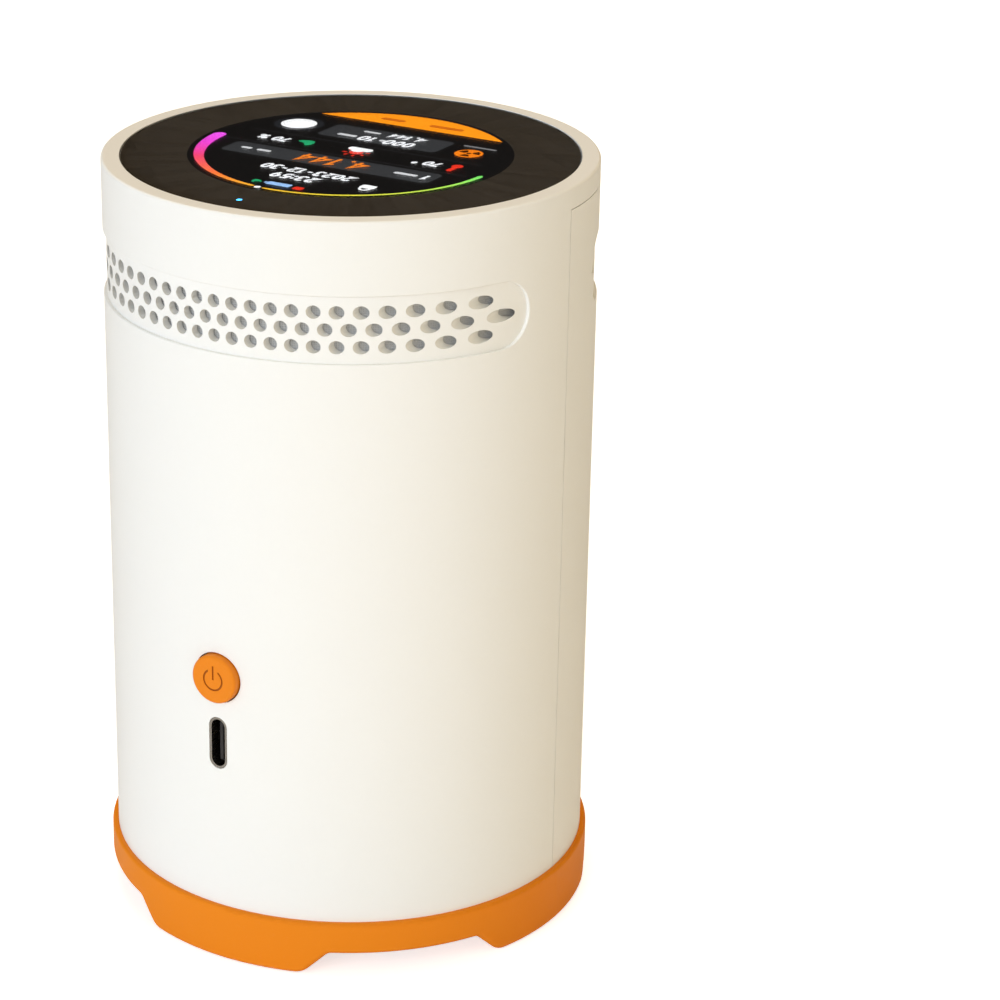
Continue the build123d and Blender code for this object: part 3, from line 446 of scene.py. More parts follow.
def group_floor_wear():
    """Scuffs near a level that rests on the table: noise that fades with height above it."""
    tree, given, result = new_group("Floor wear", {"Level": 0.0, "Reach": 0.002}, ("Wear",))
    split = axes(tree, given["Vector"])
    above = math_node(tree, "SUBTRACT", split["Z"], given["Level"])
    fade = math_node(tree, "SUBTRACT", 1.0, math_node(tree, "DIVIDE", above, given["Reach"]))
    scuffs = noise(tree, given["Vector"], 900.0, 5.0)
    worn = product(tree, math_node(tree, "MAXIMUM", fade, 0.0), scuffs)
    feed(tree, result, {"Wear": remap(tree, worn, 0.35, 0.6, smooth=True)})
    return tree


def group_woven_mesh():
    """Plain weave wrapped round the axis: warp and weft are sine waves of the angle times the
    radius and of the height, and each passes over the other by turns."""
    inputs = {"Pitch": 0.0004, "Radius": 0.038}
    tree, given, result = new_group("Woven mesh", inputs, ("Height", "Wire"))
    split = axes(tree, given["Vector"])
    turn = math_node(tree, "ARCTAN2", split["X"], split["Y"])
    around = product(tree, turn, given["Radius"])
    waves = []
    for along in (around, split["Z"]):
        phase = product(tree, math_node(tree, "DIVIDE", along, given["Pitch"]), math.pi)
        waves.append(math_node(tree, "SINE", phase))
    wires = [math_node(tree, "ABSOLUTE", wave) for wave in waves]
    over = product(tree, waves[0], waves[1])
    wire = math_node(tree, "MAXIMUM", wires[0], wires[1])
    height = math_node(tree, "ADD", wire, product(tree, over, 0.3))
    feed(tree, result, {"Height": height, "Wire": remap(tree, wire, 0.45, 0.75)})
    return tree


def group_brushed():
    """Fine drawn lines round a turned or rolled metal part: noise stretched along the level."""
    tree, given, result = new_group("Drawn lines", {"Pitch": 0.0002}, ("Height", "Tone"))
    stretch = {0: given["Vector"], 1: (0.06, 0.06, 1.0)}
    drawn = node(tree, "ShaderNodeVectorMath", stretch, operation="MULTIPLY")
    place = scaled(tree, drawn.outputs[0], given["Pitch"])
    lines = noise(tree, place, 1.0, 3.0)
    tone = product(tree, lines, noise(tree, given["Vector"], 160.0))
    feed(tree, result, {"Height": lines, "Tone": tone})
    return tree


def group_board_tracks():
    """Copper under solder mask: right-angled tracks from cells, and round tinned pads."""
    tree, given, result = new_group("Board tracks", {"Pitch": 0.0016}, ("Tracks", "Pads"))
    place = scaled(tree, given["Vector"], given["Pitch"])
    cells = node(tree, "ShaderNodeTexVoronoi", {"Vector": place, "Scale": 0.6},
                 distance="CHEBYCHEV", feature="F1")
    pads = node(tree, "ShaderNodeTexVoronoi", {"Vector": place, "Scale": 0.9, "Randomness": 0.55})
    band = math_node(tree, "PINGPONG", cells.outputs["Distance"], 0.09)
    tinned = remap(tree, pads.outputs["Distance"], 0.16, 0.13)
    feed(tree, result, {"Tracks": remap(tree, band, 0.04, 0.055), "Pads": tinned})
    return tree


def group_pixel_grid():
    """Dots of a picture: the product of two sine waves, in a square grid."""
    tree, given, result = new_group("Pixel grid", {"Pitch": 0.0001}, ("Mask",))
    split = axes(tree, given["Vector"])
    waves = []
    for axis in ("X", "Y"):
        steps = math_node(tree, "DIVIDE", split[axis], given["Pitch"])
        wave = math_node(tree, "SINE", product(tree, steps, math.pi))
        waves.append(math_node(tree, "ABSOLUTE", wave))
    lit = product(tree, waves[0], waves[1])
    feed(tree, result, {"Mask": remap(tree, lit, 0.0, 0.3, 0.72, 1.0)})
    return tree


GROUPS = {
    "Moulded grain": group_moulded_grain,
    "Handling": group_handling,
    "Floor wear": group_floor_wear,
    "Woven mesh": group_woven_mesh,
    "Drawn lines": group_brushed,
    "Board tracks": group_board_tracks,
    "Pixel grid": group_pixel_grid,
}


def effect(tree, name, place, **values):
    """A node group placed in a material, with its own values."""
    group = bpy.data.node_groups.get(name) or GROUPS[name]()
    return node(tree, "ShaderNodeGroup", {"Vector": place, **values}, node_tree=group).outputs


def start_material(name):
    """A material with an empty Principled shader: the tree, the shader and Object coordinates."""
    material = bpy.data.materials.new(name)
    material.use_nodes = True
    tree = material.node_tree
    surface = tree.nodes["Principled BSDF"]
    place = node(tree, "ShaderNodeTexCoord").outputs["Object"]
    return material, tree, surface, place


def set_bump(tree, surface, height, strength, distance):
    """A Bump node between a height and the shader's normal."""
    values = {"Strength": strength, "Distance": distance, "Height": height}
    feed(tree, surface, {"Normal": node(tree, "ShaderNodeBump", values).outputs["Normal"]})


def plastic(name, colour, roughness, grain=0.35 * MM, relief=0.012 * MM, dusty=0.02, worn=None,
            gloss=0.5):
    """Moulded plastic: grain in the relief, a broken tone, hand-polished patches and dust.
    worn gives the level of the feet, where the colour is scuffed paler."""
    material, tree, surface, place = start_material(name)
    grains = effect(tree, "Moulded grain", place, Size=grain)
    use = effect(tree, "Handling", place)
    tone = blend_colours(tree, grains["Tone"], tuple(0.985 * c for c in colour), colour)
    pale = tuple(0.5 * c + 0.4 for c in colour)
    dust = product(tree, use["Dust"], dusty)
    tone = blend_colours(tree, dust, tone, pale)
    rough = remap(tree, use["Polish"], 0.0, 1.0, roughness + 0.03, roughness - 0.04)
    if worn is not None:
        wear = effect(tree, "Floor wear", place, Level=worn)["Wear"]
        tone = blend_colours(tree, product(tree, wear, 0.35), tone, pale)
        rough = math_node(tree, "ADD", rough, product(tree, wear, 0.2))
    values = {"Base Color": tone, "Roughness": rough, "IOR": 1.46, "Specular IOR Level": gloss}
    feed(tree, surface, values)
    set_bump(tree, surface, grains["Height"], 0.5, relief)
    return material


def metal(name, colour, roughness, pitch=0.2 * MM):
    """Drawn or rolled metal: fine lines in relief and in roughness."""
    material, tree, surface, place = start_material(name)
    lines = effect(tree, "Drawn lines", place, Pitch=pitch)
    tone = blend_colours(tree, lines["Tone"], tuple(0.86 * c for c in colour), colour)
    rough = remap(tree, lines["Height"], 0.3, 0.7, roughness - 0.05, roughness + 0.08)
    feed(tree, surface, {"Base Color": tone, "Roughness": rough, "Metallic": 1.0})
    set_bump(tree, surface, lines["Height"], 0.35, 0.01 * MM)
    return material


def circuit_board(name, colour):
    """Solder mask over copper: tracks a little paler and raised, pads of tinned metal."""
    material, tree, surface, place = start_material(name)
    copper = effect(tree, "Board tracks", place)
    over_track = tuple(min(1.0, 1.7 * c + 0.01) for c in colour)
    tone = blend_colours(tree, copper["Tracks"], colour, over_track)
    tone = blend_colours(tree, copper["Pads"], tone, (0.62, 0.60, 0.55))
    feed(tree, surface, {"Base Color": tone, "Metallic": copper["Pads"], "Roughness": 0.34})
    height = math_node(tree, "MAXIMUM", copper["Tracks"], copper["Pads"])
    set_bump(tree, surface, height, 0.6, 0.03 * MM)
    return material


def woven_filter(name, colour, gap_colour, radius):
    """Woven polyester mesh, pale threads over darker gaps."""
    material, tree, surface, place = start_material(name)
    weave = effect(tree, "Woven mesh", place, Pitch=0.36 * MM, Radius=radius)
    tone = blend_colours(tree, weave["Wire"], gap_colour, colour)
    feed(tree, surface, {"Base Color": tone, "Roughness": 0.75})
    set_bump(tree, surface, weave["Height"], 0.8, 0.06 * MM)
    return material


def lit_piece(name, layer, parts, light, colour):
    """A piece of the lit picture in one colour, as bright as the whole picture."""
    material = lit(light, colour, bpy.context.scene.monitor_screen.brightness)
    return picture_piece(name, layer, parts, material)


def shine(tree, surface, place, gap, colour, strength):
    """Make a surface black and lit in dots, with hardly any reflection of its own. gap is
    the colour between the dots."""
    dots = effect(tree, "Pixel grid", place, Pitch=bpy.context.scene.monitor_screen.pixel)
    values = {
        "Emission Color": blend_colours(tree, dots["Mask"], gap, colour),
        "Emission Strength": strength,
        "Base Color": (0.004, 0.004, 0.004, 1.0),
        "Specular IOR Level": 0.05,
    }
    feed(tree, surface, values)


def lit(name, colour, strength):
    """A lit part of the picture: its colour broken into dots."""
    material, tree, surface, place = start_material(name)
    gap = tuple(0.6 * c for c in colour)
    shine(tree, surface, place, gap, colour, strength)
    return material


def lit_gauge(name, strength):
    """The gauge's colours by angle round the axis: green, yellow, orange, red and magenta."""
    material, tree, surface, place = start_material(name)
    split = axes(tree, place)
    turn = math_node(tree, "ARCTAN2", product(tree, split["Y"], -1.0), split["X"])
    ramp = node(tree, "ShaderNodeValToRGB", {"Fac": remap(tree, turn, 0.0, math.pi)})
    stops = (
        (0.0, 110, 230, 110),
        (0.14, 190, 240, 90),
        (0.34, 250, 235, 70),
        (0.52, 255, 190, 50),
        (0.66, 250, 120, 60),
        (0.80, 236, 70, 110),
        (0.92, 235, 70, 215),
        (1.0, 240, 90, 245),
    )
    while len(ramp.color_ramp.elements) < len(stops):
        ramp.color_ramp.elements.new(0.5)
    for element, (position, *colour) in zip(ramp.color_ramp.elements, stops):
        element.position = position
        element.color = (*shade(*colour), 1.0)
    shine(tree, surface, place, BLACK, ramp.outputs["Color"], strength)
    return material


def cover_glass_material():
    """Clear glass with the faintest smears, which lets lamps reach what it covers."""
    material, tree, surface, place = start_material("cover_glass")
    use = effect(tree, "Handling", place)
    rough = remap(tree, use["Polish"], 0.0, 1.0, 0.012, 0.018)
    values = {
        "Roughness": rough,
        "Base Color": (0.97, 0.97, 0.96, 1.0),
        "Transmission Weight": 1.0,
        "IOR": 1.45,
    }
    feed(tree, surface, values)
    shadow = node(tree, "ShaderNodeLightPath").outputs["Is Shadow Ray"]
    clear = node(tree, "ShaderNodeBsdfTransparent").outputs[0]
    mixer = node(tree, "ShaderNodeMixShader", {0: shadow, 1: surface.outputs[0], 2: clear})
    feed(tree, tree.nodes["Material Output"], {"Surface": mixer.outputs[0]})
    return material


def finish_nodes(material, *names):
    """Give CAD nodes a material."""
    for name in names:
        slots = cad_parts[name].data.materials
        slots.clear()
        slots.append(material)


# ---- Operators: one for each piece or group of like pieces ----


class MONITOR_OT_case(bpy.types.Operator):
    """Finish the white case: the front housing and the rear cover"""

    bl_idname = "monitor.case"
    bl_label = "Case"

    def execute(self, context):
        finish = context.scene.monitor_finish
        roughness, grain = finish.case_roughness, finish.grain
        white = plastic("housing_white", finish.case_colour, roughness, grain, gloss=0.22)
        finish_nodes(white, "front_housing", "rear_cover")
        return {"FINISHED"}


class MONITOR_OT_base(bpy.types.Operator):
    """Finish the orange base, its rubber pads and the screws under it"""

    bl_idname = "monitor.base"
    bl_label = "Base"

    def execute(self, context):
        finish = context.scene.monitor_finish
        values = {"worn": base_level, "gloss": 0.15}
        orange = plastic("accent_orange", finish.accent_colour, 0.50, finish.grain, **values)
        finish_nodes(orange, "base")
        rubber = plastic("pad_rubber", (0.045, 0.045, 0.047), 0.78, 0.5 * MM, 0.04 * MM, 0.12)
        finish_nodes(rubber, "foot_pads")
        steel = metal("screw_steel", (0.52, 0.51, 0.50), 0.30)
        places = ("base", "chassis", "board", "carrier", "chamber", "io_board")
        finish_nodes(steel, *(place + "_screws" for place in places))
        return {"FINISHED"}


class MONITOR_OT_vents(bpy.types.Operator):
    """Finish the woven filters behind the vents"""

    bl_idname = "monitor.vents"
    bl_label = "Vent filters"

    def execute(self, context):
        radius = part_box("vent_filter_front")[1].x
        pale = woven_filter("filter_mesh", (0.50, 0.49, 0.475), (0.20, 0.196, 0.19), radius)
        finish_nodes(pale, "vent_filter_front", "vent_filter_rear")
        return {"FINISHED"}


class MONITOR_OT_button(bpy.types.Operator):
    """Finish the power button, with painted shade: a deeper orange at the bottom of its sunk symbol
    """

    bl_idname = "monitor.button"
    bl_label = "Power button"

    def execute(self, context):
        finish = context.scene.monitor_finish
        low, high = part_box("power_button")
        material = plastic("button_orange", finish.accent_colour, 0.45, finish.grain, gloss=0.25)
        tree = material.node_tree
        surface = tree.nodes["Principled BSDF"]
        place = node(tree, "ShaderNodeTexCoord").outputs["Object"]
        split = axes(tree, place)
        depth, reach = 0.15 * MM, 2.7 * MM
        # Painted shade: the bottom of the sunk symbol is darkened to a deeper orange, more so
        # deeper in the recess
        sunk = remap(tree, split["Y"], low.y + 0.5 * depth, low.y + 0.9 * depth)
        centre = (0.0, low.y, (low.z + high.z) / 2)
        away = node(tree, "ShaderNodeVectorMath", {0: place, 1: centre}, operation="DISTANCE")
        inside = remap(tree, away.outputs["Value"], reach, 1.1 * reach, 1.0, 0.0)
        mask = product(tree, sunk, inside)
        tone = surface.inputs["Base Color"].links[0].from_socket
        symbol = blend_colours(tree, mask, tone, finish.symbol_shade_colour)
        feed(tree, surface, {"Base Color": symbol})
        finish_nodes(material, "power_button")
        black = plastic("switch_black", (0.03, 0.03, 0.032), 0.5)
        finish_nodes(black, "switch_plunger", "switch_body")
        return {"FINISHED"}


class MONITOR_OT_socket(bpy.types.Operator):
    """Finish the charging socket and lay the gold contacts on both faces of its tongue"""

    bl_idname = "monitor.socket"
    bl_label = "Charging socket"

    def execute(self, context):
        finish_nodes(metal("socket_steel", (0.36, 0.36, 0.365), 0.28, 0.15 * MM), "usb_shell")
        finish_nodes(plastic("socket_black", (0.022, 0.022, 0.024), 0.45), "usb_tongue")
        # Twelve fingers a side, on the tongue's two faces
        count, pitch, width, length, proud = 12, 0.5 * MM, 0.26 * MM, 3.6 * MM, 0.02 * MM
        start = tongue_low.y + 0.5 * MM
        half = 0.35 * MM
        middle = (tongue_low.z + tongue_high.z) / 2
        centres = middle + pitch * (np.arange(count) - (count - 1) / 2)
        corner = np.array([(y, z) for y in (0.0, 1.0) for z in (-0.5, 0.5)])[[0, 2, 3, 1]]
        shapes = []
        for side in (-1, 1):
            near, far = side * half, side * (half + proud)
            for centre in centres:
                outline = corner * (length, width) + (start, centre)
                points, faces = plate_shape(outline, near, far)
                shapes.append((points[:, [2, 0, 1]], faces))
        gold = metal("contact_gold", (0.83, 0.60, 0.25), 0.25)
        make_piece("socket_contacts", shapes, "case", gold)
        return {"FINISHED"}


class MONITOR_OT_glass(bpy.types.Operator):
    """Finish the cover glass, the print and tape under it, and the status light"""

    bl_idname = "monitor.glass"
    bl_label = "Cover glass"

    def execute(self, context):
        finish = context.scene.monitor_finish
        finish_nodes(cover_glass_material(), "cover_glass")
        ink = plastic("mask_black", finish.print_colour, 0.55, 0.12 * MM, 0.002 * MM, 0.0,
                      gloss=0.1)
        finish_nodes(ink, "glass_mask")
        finish_nodes(plastic("tape_black", (0.012, 0.012, 0.012), 0.7), "glass_tape")
        pipe = lit("light_pipe_clear", shade(40, 130, 255), 1.2)
        finish_nodes(pipe, "light_pipe", "status_led")
        # The lit end of the light pipe, in its window in the print
        outline = ring(0.0, (pipe_low.y + pipe_high.y) / 2, 0.46 * MM, 32)
        shape = plate_shape(outline, mask_low.z, mask_high.z)
        glow = lit("status_blue", shade(70, 175, 255), 5.0)
        make_piece("status_lens", [shape], "case", glow)
        return {"FINISHED"}


class MONITOR_OT_inside(bpy.types.Operator):
    """Finish the parts inside the case: boards, components, chamber, chassis and cell"""

    bl_idname = "monitor.inside"
    bl_label = "Inside"

    def execute(self, context):
        board = circuit_board("board_green", (0.012, 0.105, 0.045))
        finish_nodes(board, "main_board", "chamber_board", "io_board")
        chip = plastic("chip_black", (0.020, 0.020, 0.022), 0.42, 0.12 * MM, 0.006 * MM)
        finish_nodes(chip, "processor", "climate_sensor", "amplifier_chip", "buzzer")
        finish_nodes(chip, "charge_controller", "power_inductor")
        cream = plastic("connector_cream", (0.72, 0.66, 0.52), 0.45)
        finish_nodes(cream, "display_socket", "ribbon_sockets", "link_sockets")
        finish_nodes(cream, "battery_socket", "battery_plug")
        finish_nodes(plastic("diffuser_white", (0.82, 0.83, 0.84), 0.3), "display_backlight")
        thin_steel = metal("thin_steel", (0.60, 0.60, 0.61), 0.32)
        finish_nodes(thin_steel, "display_bezel", "amplifier_shield", "radio_module")
        grey = plastic("chassis_grey", (0.20, 0.205, 0.215), 0.5, 0.45 * MM, 0.02 * MM)
        finish_nodes(grey, "display_carrier", "chassis", "battery_cradle")
        finish_nodes(plastic("flex_amber", (0.42, 0.19, 0.03), 0.3), "display_flex")
        white = plastic("ribbon_white", (0.78, 0.79, 0.8), 0.45)
        finish_nodes(white, "signal_ribbon", "link_ribbon")
        aluminium = metal("chamber_aluminium", (0.74, 0.75, 0.76), 0.34, 0.25 * MM)
        finish_nodes(aluminium, "chamber_can", "chamber_lid")
        finish_nodes(metal("electrode_brass", (0.78, 0.56, 0.24), 0.24), "centre_electrode")
        finish_nodes(plastic("insulator_white", (0.83, 0.84, 0.83), 0.35), "electrode_insulator")
        finish_nodes(plastic("cell_wrap", (0.035, 0.12, 0.30), 0.3, 0.8 * MM), "battery_cell")
        finish_nodes(metal("contact_nickel", (0.66, 0.64, 0.60), 0.22), "battery_contacts")
        finish_nodes(plastic("lead_red", (0.50, 0.03, 0.025), 0.4), "battery_leads")
        return {"FINISHED"}


class MONITOR_OT_display(bpy.types.Operator):
    """Finish the dark display and lay its panels, its orange field and its thin lines"""

    bl_idname = "monitor.display"
    bl_label = "Display ground"

    def execute(self, context):
        screen = context.scene.monitor_screen
        finish_nodes(lit("display_cell", shade(28, 26, 26), 1.0), "display_cell")
        corner = screen.panel_radius / MM
        panels = [
            rounded_box(0.0, 6.2, 38.6, 5.8, corner),
            rounded_box(0.0, -10.75, 22.4, 7.3, corner),
        ]
        lit_piece("picture_panels", 0, panels, "panel_grey", screen.panel_colour)
        # The field below a chord of the display's circle
        radius, chord = 25.5, 18.7
        end = math.degrees(math.asin(chord / radius))
        field = arc(0.0, 0.0, radius, radius, 180 + end, 360 - end, 49)
        lit_piece("picture_field", 0, [field], "field_orange", screen.segment_colour)
        lines = [
            carry(run((-21.5, -4.6), (21.5, -4.6)), 0.12),
            carry(run((-22.5, 2.2), (22.5, 2.2)), 0.10),
        ]
        lit_piece("picture_lines", 0, lines, "line_grey", shade(50, 50, 52))
        return {"FINISHED"}


class MONITOR_OT_gauge(bpy.types.Operator):
    """Lay the gauge's arc, thin at its low end and thick at its high end, and its pointer"""

    bl_idname = "monitor.gauge"
    bl_label = "Gauge"

    def execute(self, context):
        screen = context.scene.monitor_screen
        radius = screen.gauge_radius / MM
        thick, thin = screen.gauge_thick / MM, screen.gauge_thin / MM
        # Two stretches of one arc, with a gap round the pointer, in degrees
        pointer, gap, first, last = 86.0, 1.9, 178.5, 1.0
        # The low end widens a little from this angle on, over this many degrees, by this much
        flare_start, flare_length, flare = 150.0, 28.0, 0.35
        growth, count = 0.9, 61
        parts = []
        for start, end in ((first, pointer + gap), (pointer - gap, last)):
            turn = np.linspace(start, end, count)
            share = np.clip((pointer - turn) / (pointer - last), 0.0, 1.0)
            width = thin + (thick - thin) * share**growth
            width = width + flare * np.clip((turn - flare_start) / flare_length, 0.0, 1.0)
            # Round ends: the width follows a half circle over its own last length
            reach = np.abs(np.stack([turn - start, turn - end])).min(0) * math.pi / 180 * radius
            width = width * np.sqrt(1 - (1 - np.clip(2 * reach / width, 0.04, 1.0)) ** 2)
            middle = radius + (thin - width.max()) / 6
            parts.append(carry(arc(0.0, 0.0, middle, middle, start, end, count), width))
        picture_piece("gauge_arc", 1, parts, lit_gauge("gauge_colours", screen.brightness))
        at = arc(0.0, 0.0, radius, radius, pointer, pointer, 1)[0]
        lit_piece("gauge_pointer", 2, [ring(*at, 0.55, 24)], "pointer_white", shade(255, 255, 255))
        return {"FINISHED"}


class MONITOR_OT_numerals(bpy.types.Operator):
    """Lay the numerals: the reading, the time, the date and the smaller values"""

    bl_idname = "monitor.numerals"
    bl_label = "Numerals"

    def execute(self, context):
        screen = context.scene.monitor_screen
        reading = numerals("4.144", 0.0, 6.1, 4.4, 0.145)
        lit_piece("reading_numerals", 1, reading, "reading_orange", screen.reading_colour)
        degrees = ["7", "0", " ", "degree"]
        white = (
            numerals("23:59", 0.0, 16.9, 2.7, 0.22)
            + numerals("2023-12-30", -0.1, 13.2, 2.6, 0.22)
            + numerals("1", -17.6, 6.1, 2.4, 0.22)
            + numerals(degrees, -13.6, -1.2, 2.4, 0.23)
            + numerals("70 %", 15.4, -1.2, 2.4, 0.23)
            + numerals("000", -3.5, -8.9, 2.7, 0.22)
            + numerals("10", 2.3, -8.9, 2.7, 0.22)
            + numerals("4.144", -2.9, -12.6, 2.3, 0.22)
        )
        lit_piece("white_numerals", 1, white, "numerals_white", screen.text_colour)
        # Short bars stand where a unit or a caption would be
        grey_bars = [rounded_box(-16.1, -13.6, 6.0, 0.7, 0.3)]
        pale_bars = [
            rounded_box(-13.9, 6.1, 4.2, 1.0, 0.4),
            rounded_box(12.6, 6.1, 2.6, 0.9, 0.4),
            rounded_box(15.9, 6.1, 2.0, 0.9, 0.4),
            rounded_box(3.6, -12.6, 3.2, 0.8, 0.4),
            rounded_box(-0.4, -9.1, 1.0, 1.0, 0.4),
            rounded_box(6.3, -9.1, 3.6, 1.0, 0.4),
        ]
        field_bars = [
            rounded_box(-5.3, -21.4, 6.4, 1.3, 0.6),
            rounded_box(4.9, -21.4, 4.6, 1.3, 0.6),
        ]
        lit_piece("caption_grey", 1, grey_bars, "caption_grey", shade(120, 120, 122))
        lit_piece("caption_pale", 1, pale_bars, "caption_pale", shade(205, 207, 210))
        lit_piece("field_marks", 1, field_bars, "field_marks", shade(196, 96, 20))
        return {"FINISHED"}


class MONITOR_OT_icons(bpy.types.Operator):
    """Lay the small signs: battery, lock, thermometer, sun and cloud, drop, fan and disc"""

    bl_idname = "monitor.icons"
    bl_label = "Signs"

    def execute(self, context):
        def sign(name, layer, parts, colour):
            lit_piece(name, layer, parts, name + "_light", colour)

        # Thermometer, sun and charge sign, in red
        sun_u, sun_v = -0.6, -0.7
        reach = np.array((1.55, 2.3))
        rays = [
            carry(run(np.stack([sun_u + reach * math.cos(a), sun_v + reach * math.sin(a)], 1)), 0.4)
            for a in np.radians(np.arange(15, 375, 45))
        ]
        red = [
            rounded_box(-18.5, -0.4, 0.9, 3.0, 0.44),
            ring(-18.5, -2.1, 0.95, 24),
            ring(sun_u, sun_v, 1.15, 28),
            rounded_box(-4.05, 21.9, 1.7, 1.5, 0.4),
        ]
        sign("signs_red", 1, red + rays, shade(226, 52, 34))
        # Cloud, lock and the big disc, in white
        cloud = [
            ring(-1.6, -2.5, 0.9, 24),
            ring(-0.2, -2.1, 1.2, 28),
            ring(1.1, -2.6, 0.85, 24),
            rounded_box(-0.25, -2.95, 4.2, 0.9, 0.44),
        ]
        lock = [
            rounded_box(-12.8, 15.5, 2.6, 1.8, 0.5),
            carry(arc(-12.8, 16.3, 0.85, 1.2, 0, 180, 16), 0.45),
        ]
        sign("signs_white", 2, cloud + lock + [ring(16.9, -11.0, 3.0, 48)], shade(246, 248, 250))
        sign("disc_ring", 0, [ring(16.9, -11.0, 4.2, 48)], shade(34, 35, 38))
        # Leaf and drop, in green: a drop is a circle drawn out to a point on one side
        turn = np.radians(np.linspace(0, 360, 33)[:-1])
        drop = np.stack([np.cos(turn) * np.sin(turn / 2) ** 1.5, np.sin(turn)], 1)
        lean = np.array(((0.80, -0.60), (0.60, 0.80)))
        green = [
            (drop[:, ::-1] * (1.6, 1.9)) @ lean + (9.7, -1.2),
            (drop[:, ::-1] * (0.8, 1.2)) @ lean.T + (3.6, 21.9),
        ]
        sign("signs_green", 1, green, shade(38, 160, 104))
        # Battery, in pale blue
        battery = [
            rounded_box(-0.3, 21.5, 4.3, 1.5, 0.3),
            rounded_box(2.15, 21.5, 0.4, 0.7, 0.1),
        ]
        sign("sign_battery", 1, battery, shade(150, 190, 240))
        # Fan: an orange disc with three dark blades and a dark hub
        disc_u, disc_v = -16.2, -9.7
        sign("sign_fan", 1, [ring(disc_u, disc_v, 2.35, 40)], shade(240, 126, 24))
        blades = [
            np.concatenate([
                arc(disc_u, disc_v, 1.85, 1.85, start, start + 56, 10),
                arc(disc_u, disc_v, 0.7, 0.7, start + 56, start, 10),
            ])
            for start in (62, 182, 302)
        ]
        blades.append(ring(disc_u, disc_v, 0.4, 16))
        sign("sign_fan_blades", 2, blades, shade(40, 16, 4))
        return {"FINISHED"}


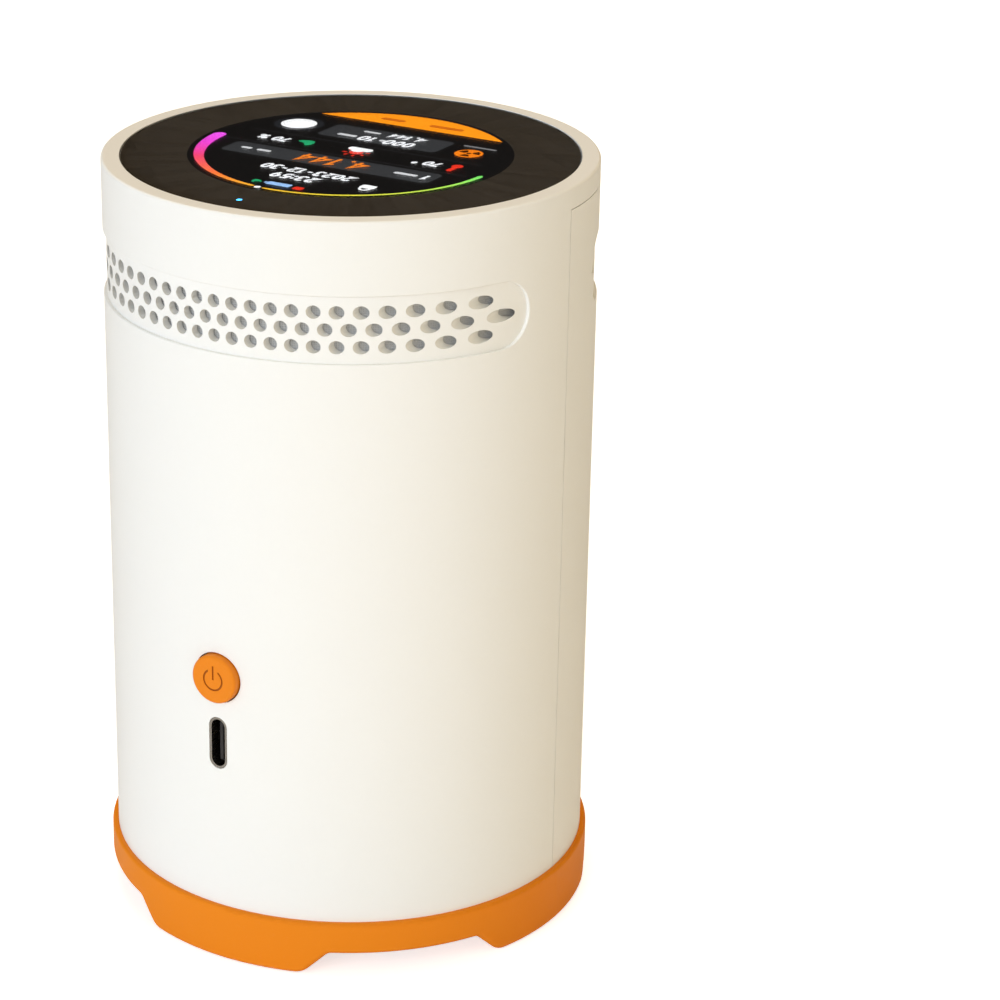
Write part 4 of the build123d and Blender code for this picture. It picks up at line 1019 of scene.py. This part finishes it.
class MONITOR_OT_stage(bpy.types.Operator):
    """Set the floor, the soft lights, the light all round and the camera"""

    bl_idname = "monitor.stage"
    bl_label = "Stage"

    def execute(self, context):
        stage = context.scene.monitor_stage
        self.lay_floor()
        self.light(stage)
        self.surround(stage)
        self.camera(stage)
        context.scene.view_settings.view_transform = "Standard"
        context.scene.cycles.use_denoising = True
        return {"FINISHED"}

    def lay_floor(self):
        """A pale round floor, from polar rings: radius times (cos, sin) of even angles."""
        rings, count, radius = 12, 96, 6.0
        reach = radius * np.linspace(0.02, 1, rings)[:, None]
        turn = np.linspace(0, 2 * math.pi, count, endpoint=False)[None, :]
        flat = np.stack([reach * np.cos(turn), reach * np.sin(turn), 0 * reach * turn], -1)
        faces = grid_faces(rings, count, close_columns=True)
        faces = [face[::-1] for face in faces] + [list(range(count))]
        mesh = bpy.data.meshes.new("floor")
        mesh.from_pydata(flat.reshape(-1, 3).tolist(), [], faces)
        material, tree, surface, place = start_material("floor_pale")
        tone = blend_colours(tree, noise(tree, place, 3.0), (0.88, 0.88, 0.88), (0.90, 0.90, 0.90))
        feed(tree, surface, {"Base Color": tone, "Roughness": 0.9, "Specular IOR Level": 0.1})
        # The floor looks paler than the light that it throws back on the object
        plain = surface.outputs[0]
        glow = node(tree, "ShaderNodeEmission", {"Strength": 0.65}).outputs[0]
        paler = node(tree, "ShaderNodeAddShader", {0: plain, 1: glow}).outputs[0]
        looked_at = node(tree, "ShaderNodeLightPath").outputs["Is Camera Ray"]
        seen = node(tree, "ShaderNodeMixShader", {0: looked_at, 1: plain, 2: paler}).outputs[0]
        # From below the floor is clear, so that the underside can be looked at
        below = node(tree, "ShaderNodeNewGeometry").outputs["Backfacing"]
        clear = node(tree, "ShaderNodeBsdfTransparent").outputs[0]
        whole = node(tree, "ShaderNodeMixShader", {0: below, 1: seen, 2: clear}).outputs[0]
        feed(tree, tree.nodes["Material Output"], {"Surface": whole})
        mesh.materials.append(material)
        floor = new_object("floor", mesh)

    def light(self, stage):
        """Two far, broad lights: a cool key from the front left and a warm one high behind.
        Neither shows in the glass."""
        sources = (
            ("key", -35, 12, 50, stage.key_power, (0.70, 0.82, 1.0)),
            ("rear", 180, 62, 30, 0.72 * stage.key_power, (1.0, 0.80, 0.58)),
        )
        for name, turn, height, spread, power, colour in sources:
            lamp = bpy.data.lights.new(name, "SUN")
            lamp.energy = power
            lamp.angle = math.radians(spread)
            lamp.color = colour
            source = new_object(name, lamp)
            source.visible_glossy = False
            source.visible_transmission = False
            about = stage.camera_turn + math.radians(turn)
            source.rotation_euler = (math.radians(90 - height), 0.0, about)

    def surround(self, stage):
        """Even light, cool on the left and warm on the right and above, with a dark patch
        where the glass would mirror it, and plain white behind the object."""
        world = bpy.data.worlds.new("studio")
        bpy.context.scene.world = world
        world.use_nodes = True
        tree = world.node_tree
        place = node(tree, "ShaderNodeTexCoord").outputs["Generated"]
        turn = stage.camera_turn
        right = (math.cos(turn), math.sin(turn), 0.0)
        level = math.cos(stage.camera_pitch)
        mirror = (-math.sin(turn) * level, math.cos(turn) * level, math.sin(stage.camera_pitch))

        def along(direction):
            values = {0: place, 1: direction}
            made = node(tree, "ShaderNodeVectorMath", values, operation="DOT_PRODUCT")
            return made.outputs["Value"]

        aside = math_node(tree, "ADD", along(right), product(tree, along((0, 0, 1)), 0.9))
        warm = remap(tree, aside, -0.7, 0.7, smooth=True)
        tone = blend_colours(tree, warm, (0.83, 0.93, 1.0), (1.0, 0.865, 0.60))
        outer, inner = math.cos(math.radians(30)), math.cos(math.radians(16))
        dark = remap(tree, along(mirror), outer, inner, 0.0, 0.97, smooth=True)
        tone = blend_colours(tree, dark, tone, BLACK)
        forward = (-math.sin(turn), math.cos(turn), 0.0)
        behind = remap(tree, along(forward), -0.6, 0.5, 1.0, 0.08, smooth=True)
        strength = product(tree, behind, stage.surround)
        tone = blend_colours(tree, 1.0, tone, strength, "MULTIPLY")
        # Dimmer where it is mirrored or seen through glass, and white where it is seen itself
        rays = node(tree, "ShaderNodeLightPath").outputs
        mirrored = math_node(tree, "MAXIMUM", rays["Is Glossy Ray"], rays["Is Transmission Ray"])
        mirrored = product(tree, mirrored, 0.7)
        tone = blend_colours(tree, mirrored, tone, BLACK)
        tone = blend_colours(tree, rays["Is Camera Ray"], tone, (1.0, 1.0, 1.0))
        feed(tree, tree.nodes["Background"], {"Color": tone, "Strength": 1.0})

    def camera(self, stage):
        """The camera: turned about the object, pitched down and rolled a little."""
        lens = bpy.data.cameras.new("camera")
        lens.lens = stage.camera_lens
        lens.sensor_width = 36.0
        lens.shift_x = stage.camera_shift
        viewer = new_object("camera", lens)
        away, turn = stage.camera_distance, stage.camera_turn
        spot = (away * math.sin(turn), -away * math.cos(turn), stage.camera_height)
        place = Matrix.Translation(spot)
        tilt = Matrix.Rotation(math.pi / 2 - stage.camera_pitch, 4, "X")
        roll = Matrix.Rotation(stage.camera_roll, 4, "Z")
        viewer.matrix_world = place @ Matrix.Rotation(turn, 4, "Z") @ tilt @ roll
        bpy.context.scene.camera = viewer


OPERATORS = (
    MONITOR_OT_case,
    MONITOR_OT_base,
    MONITOR_OT_vents,
    MONITOR_OT_button,
    MONITOR_OT_socket,
    MONITOR_OT_glass,
    MONITOR_OT_inside,
    MONITOR_OT_display,
    MONITOR_OT_gauge,
    MONITOR_OT_numerals,
    MONITOR_OT_icons,
    MONITOR_OT_stage,
)


class MONITOR_PT_sidebar(bpy.types.Panel):
    """Lists the operators and the values that they use"""

    bl_idname = "MONITOR_PT_sidebar"
    bl_label = "Air quality monitor"
    bl_space_type = "VIEW_3D"
    bl_region_type = "UI"
    bl_category = "Monitor"

    def draw(self, context):
        for operator in OPERATORS:
            self.layout.operator(operator.bl_idname)
        for group in VALUES:
            values = getattr(context.scene, group)
            box = self.layout.box()
            for name in values.__annotations__:
                box.prop(values, name)


VALUES = {
    "monitor_finish": MonitorFinish,
    "monitor_screen": MonitorScreen,
    "monitor_stage": MonitorStage,
}
CLASSES = (*VALUES.values(), *OPERATORS, MONITOR_PT_sidebar)


def register():
    """Register the classes and hang their values on the scene."""
    for entry in CLASSES:
        bpy.utils.register_class(entry)
    for name, group in VALUES.items():
        setattr(bpy.types.Scene, name, PointerProperty(type=group))


def unregister():
    """Take the values and the classes away again."""
    for name in VALUES:
        delattr(bpy.types.Scene, name)
    for entry in reversed(CLASSES):
        bpy.utils.unregister_class(entry)


def main():
    register()
    for operator in OPERATORS:
        getattr(bpy.ops.monitor, operator.bl_idname.split(".")[1])()


if __name__ == "__main__":
    main()
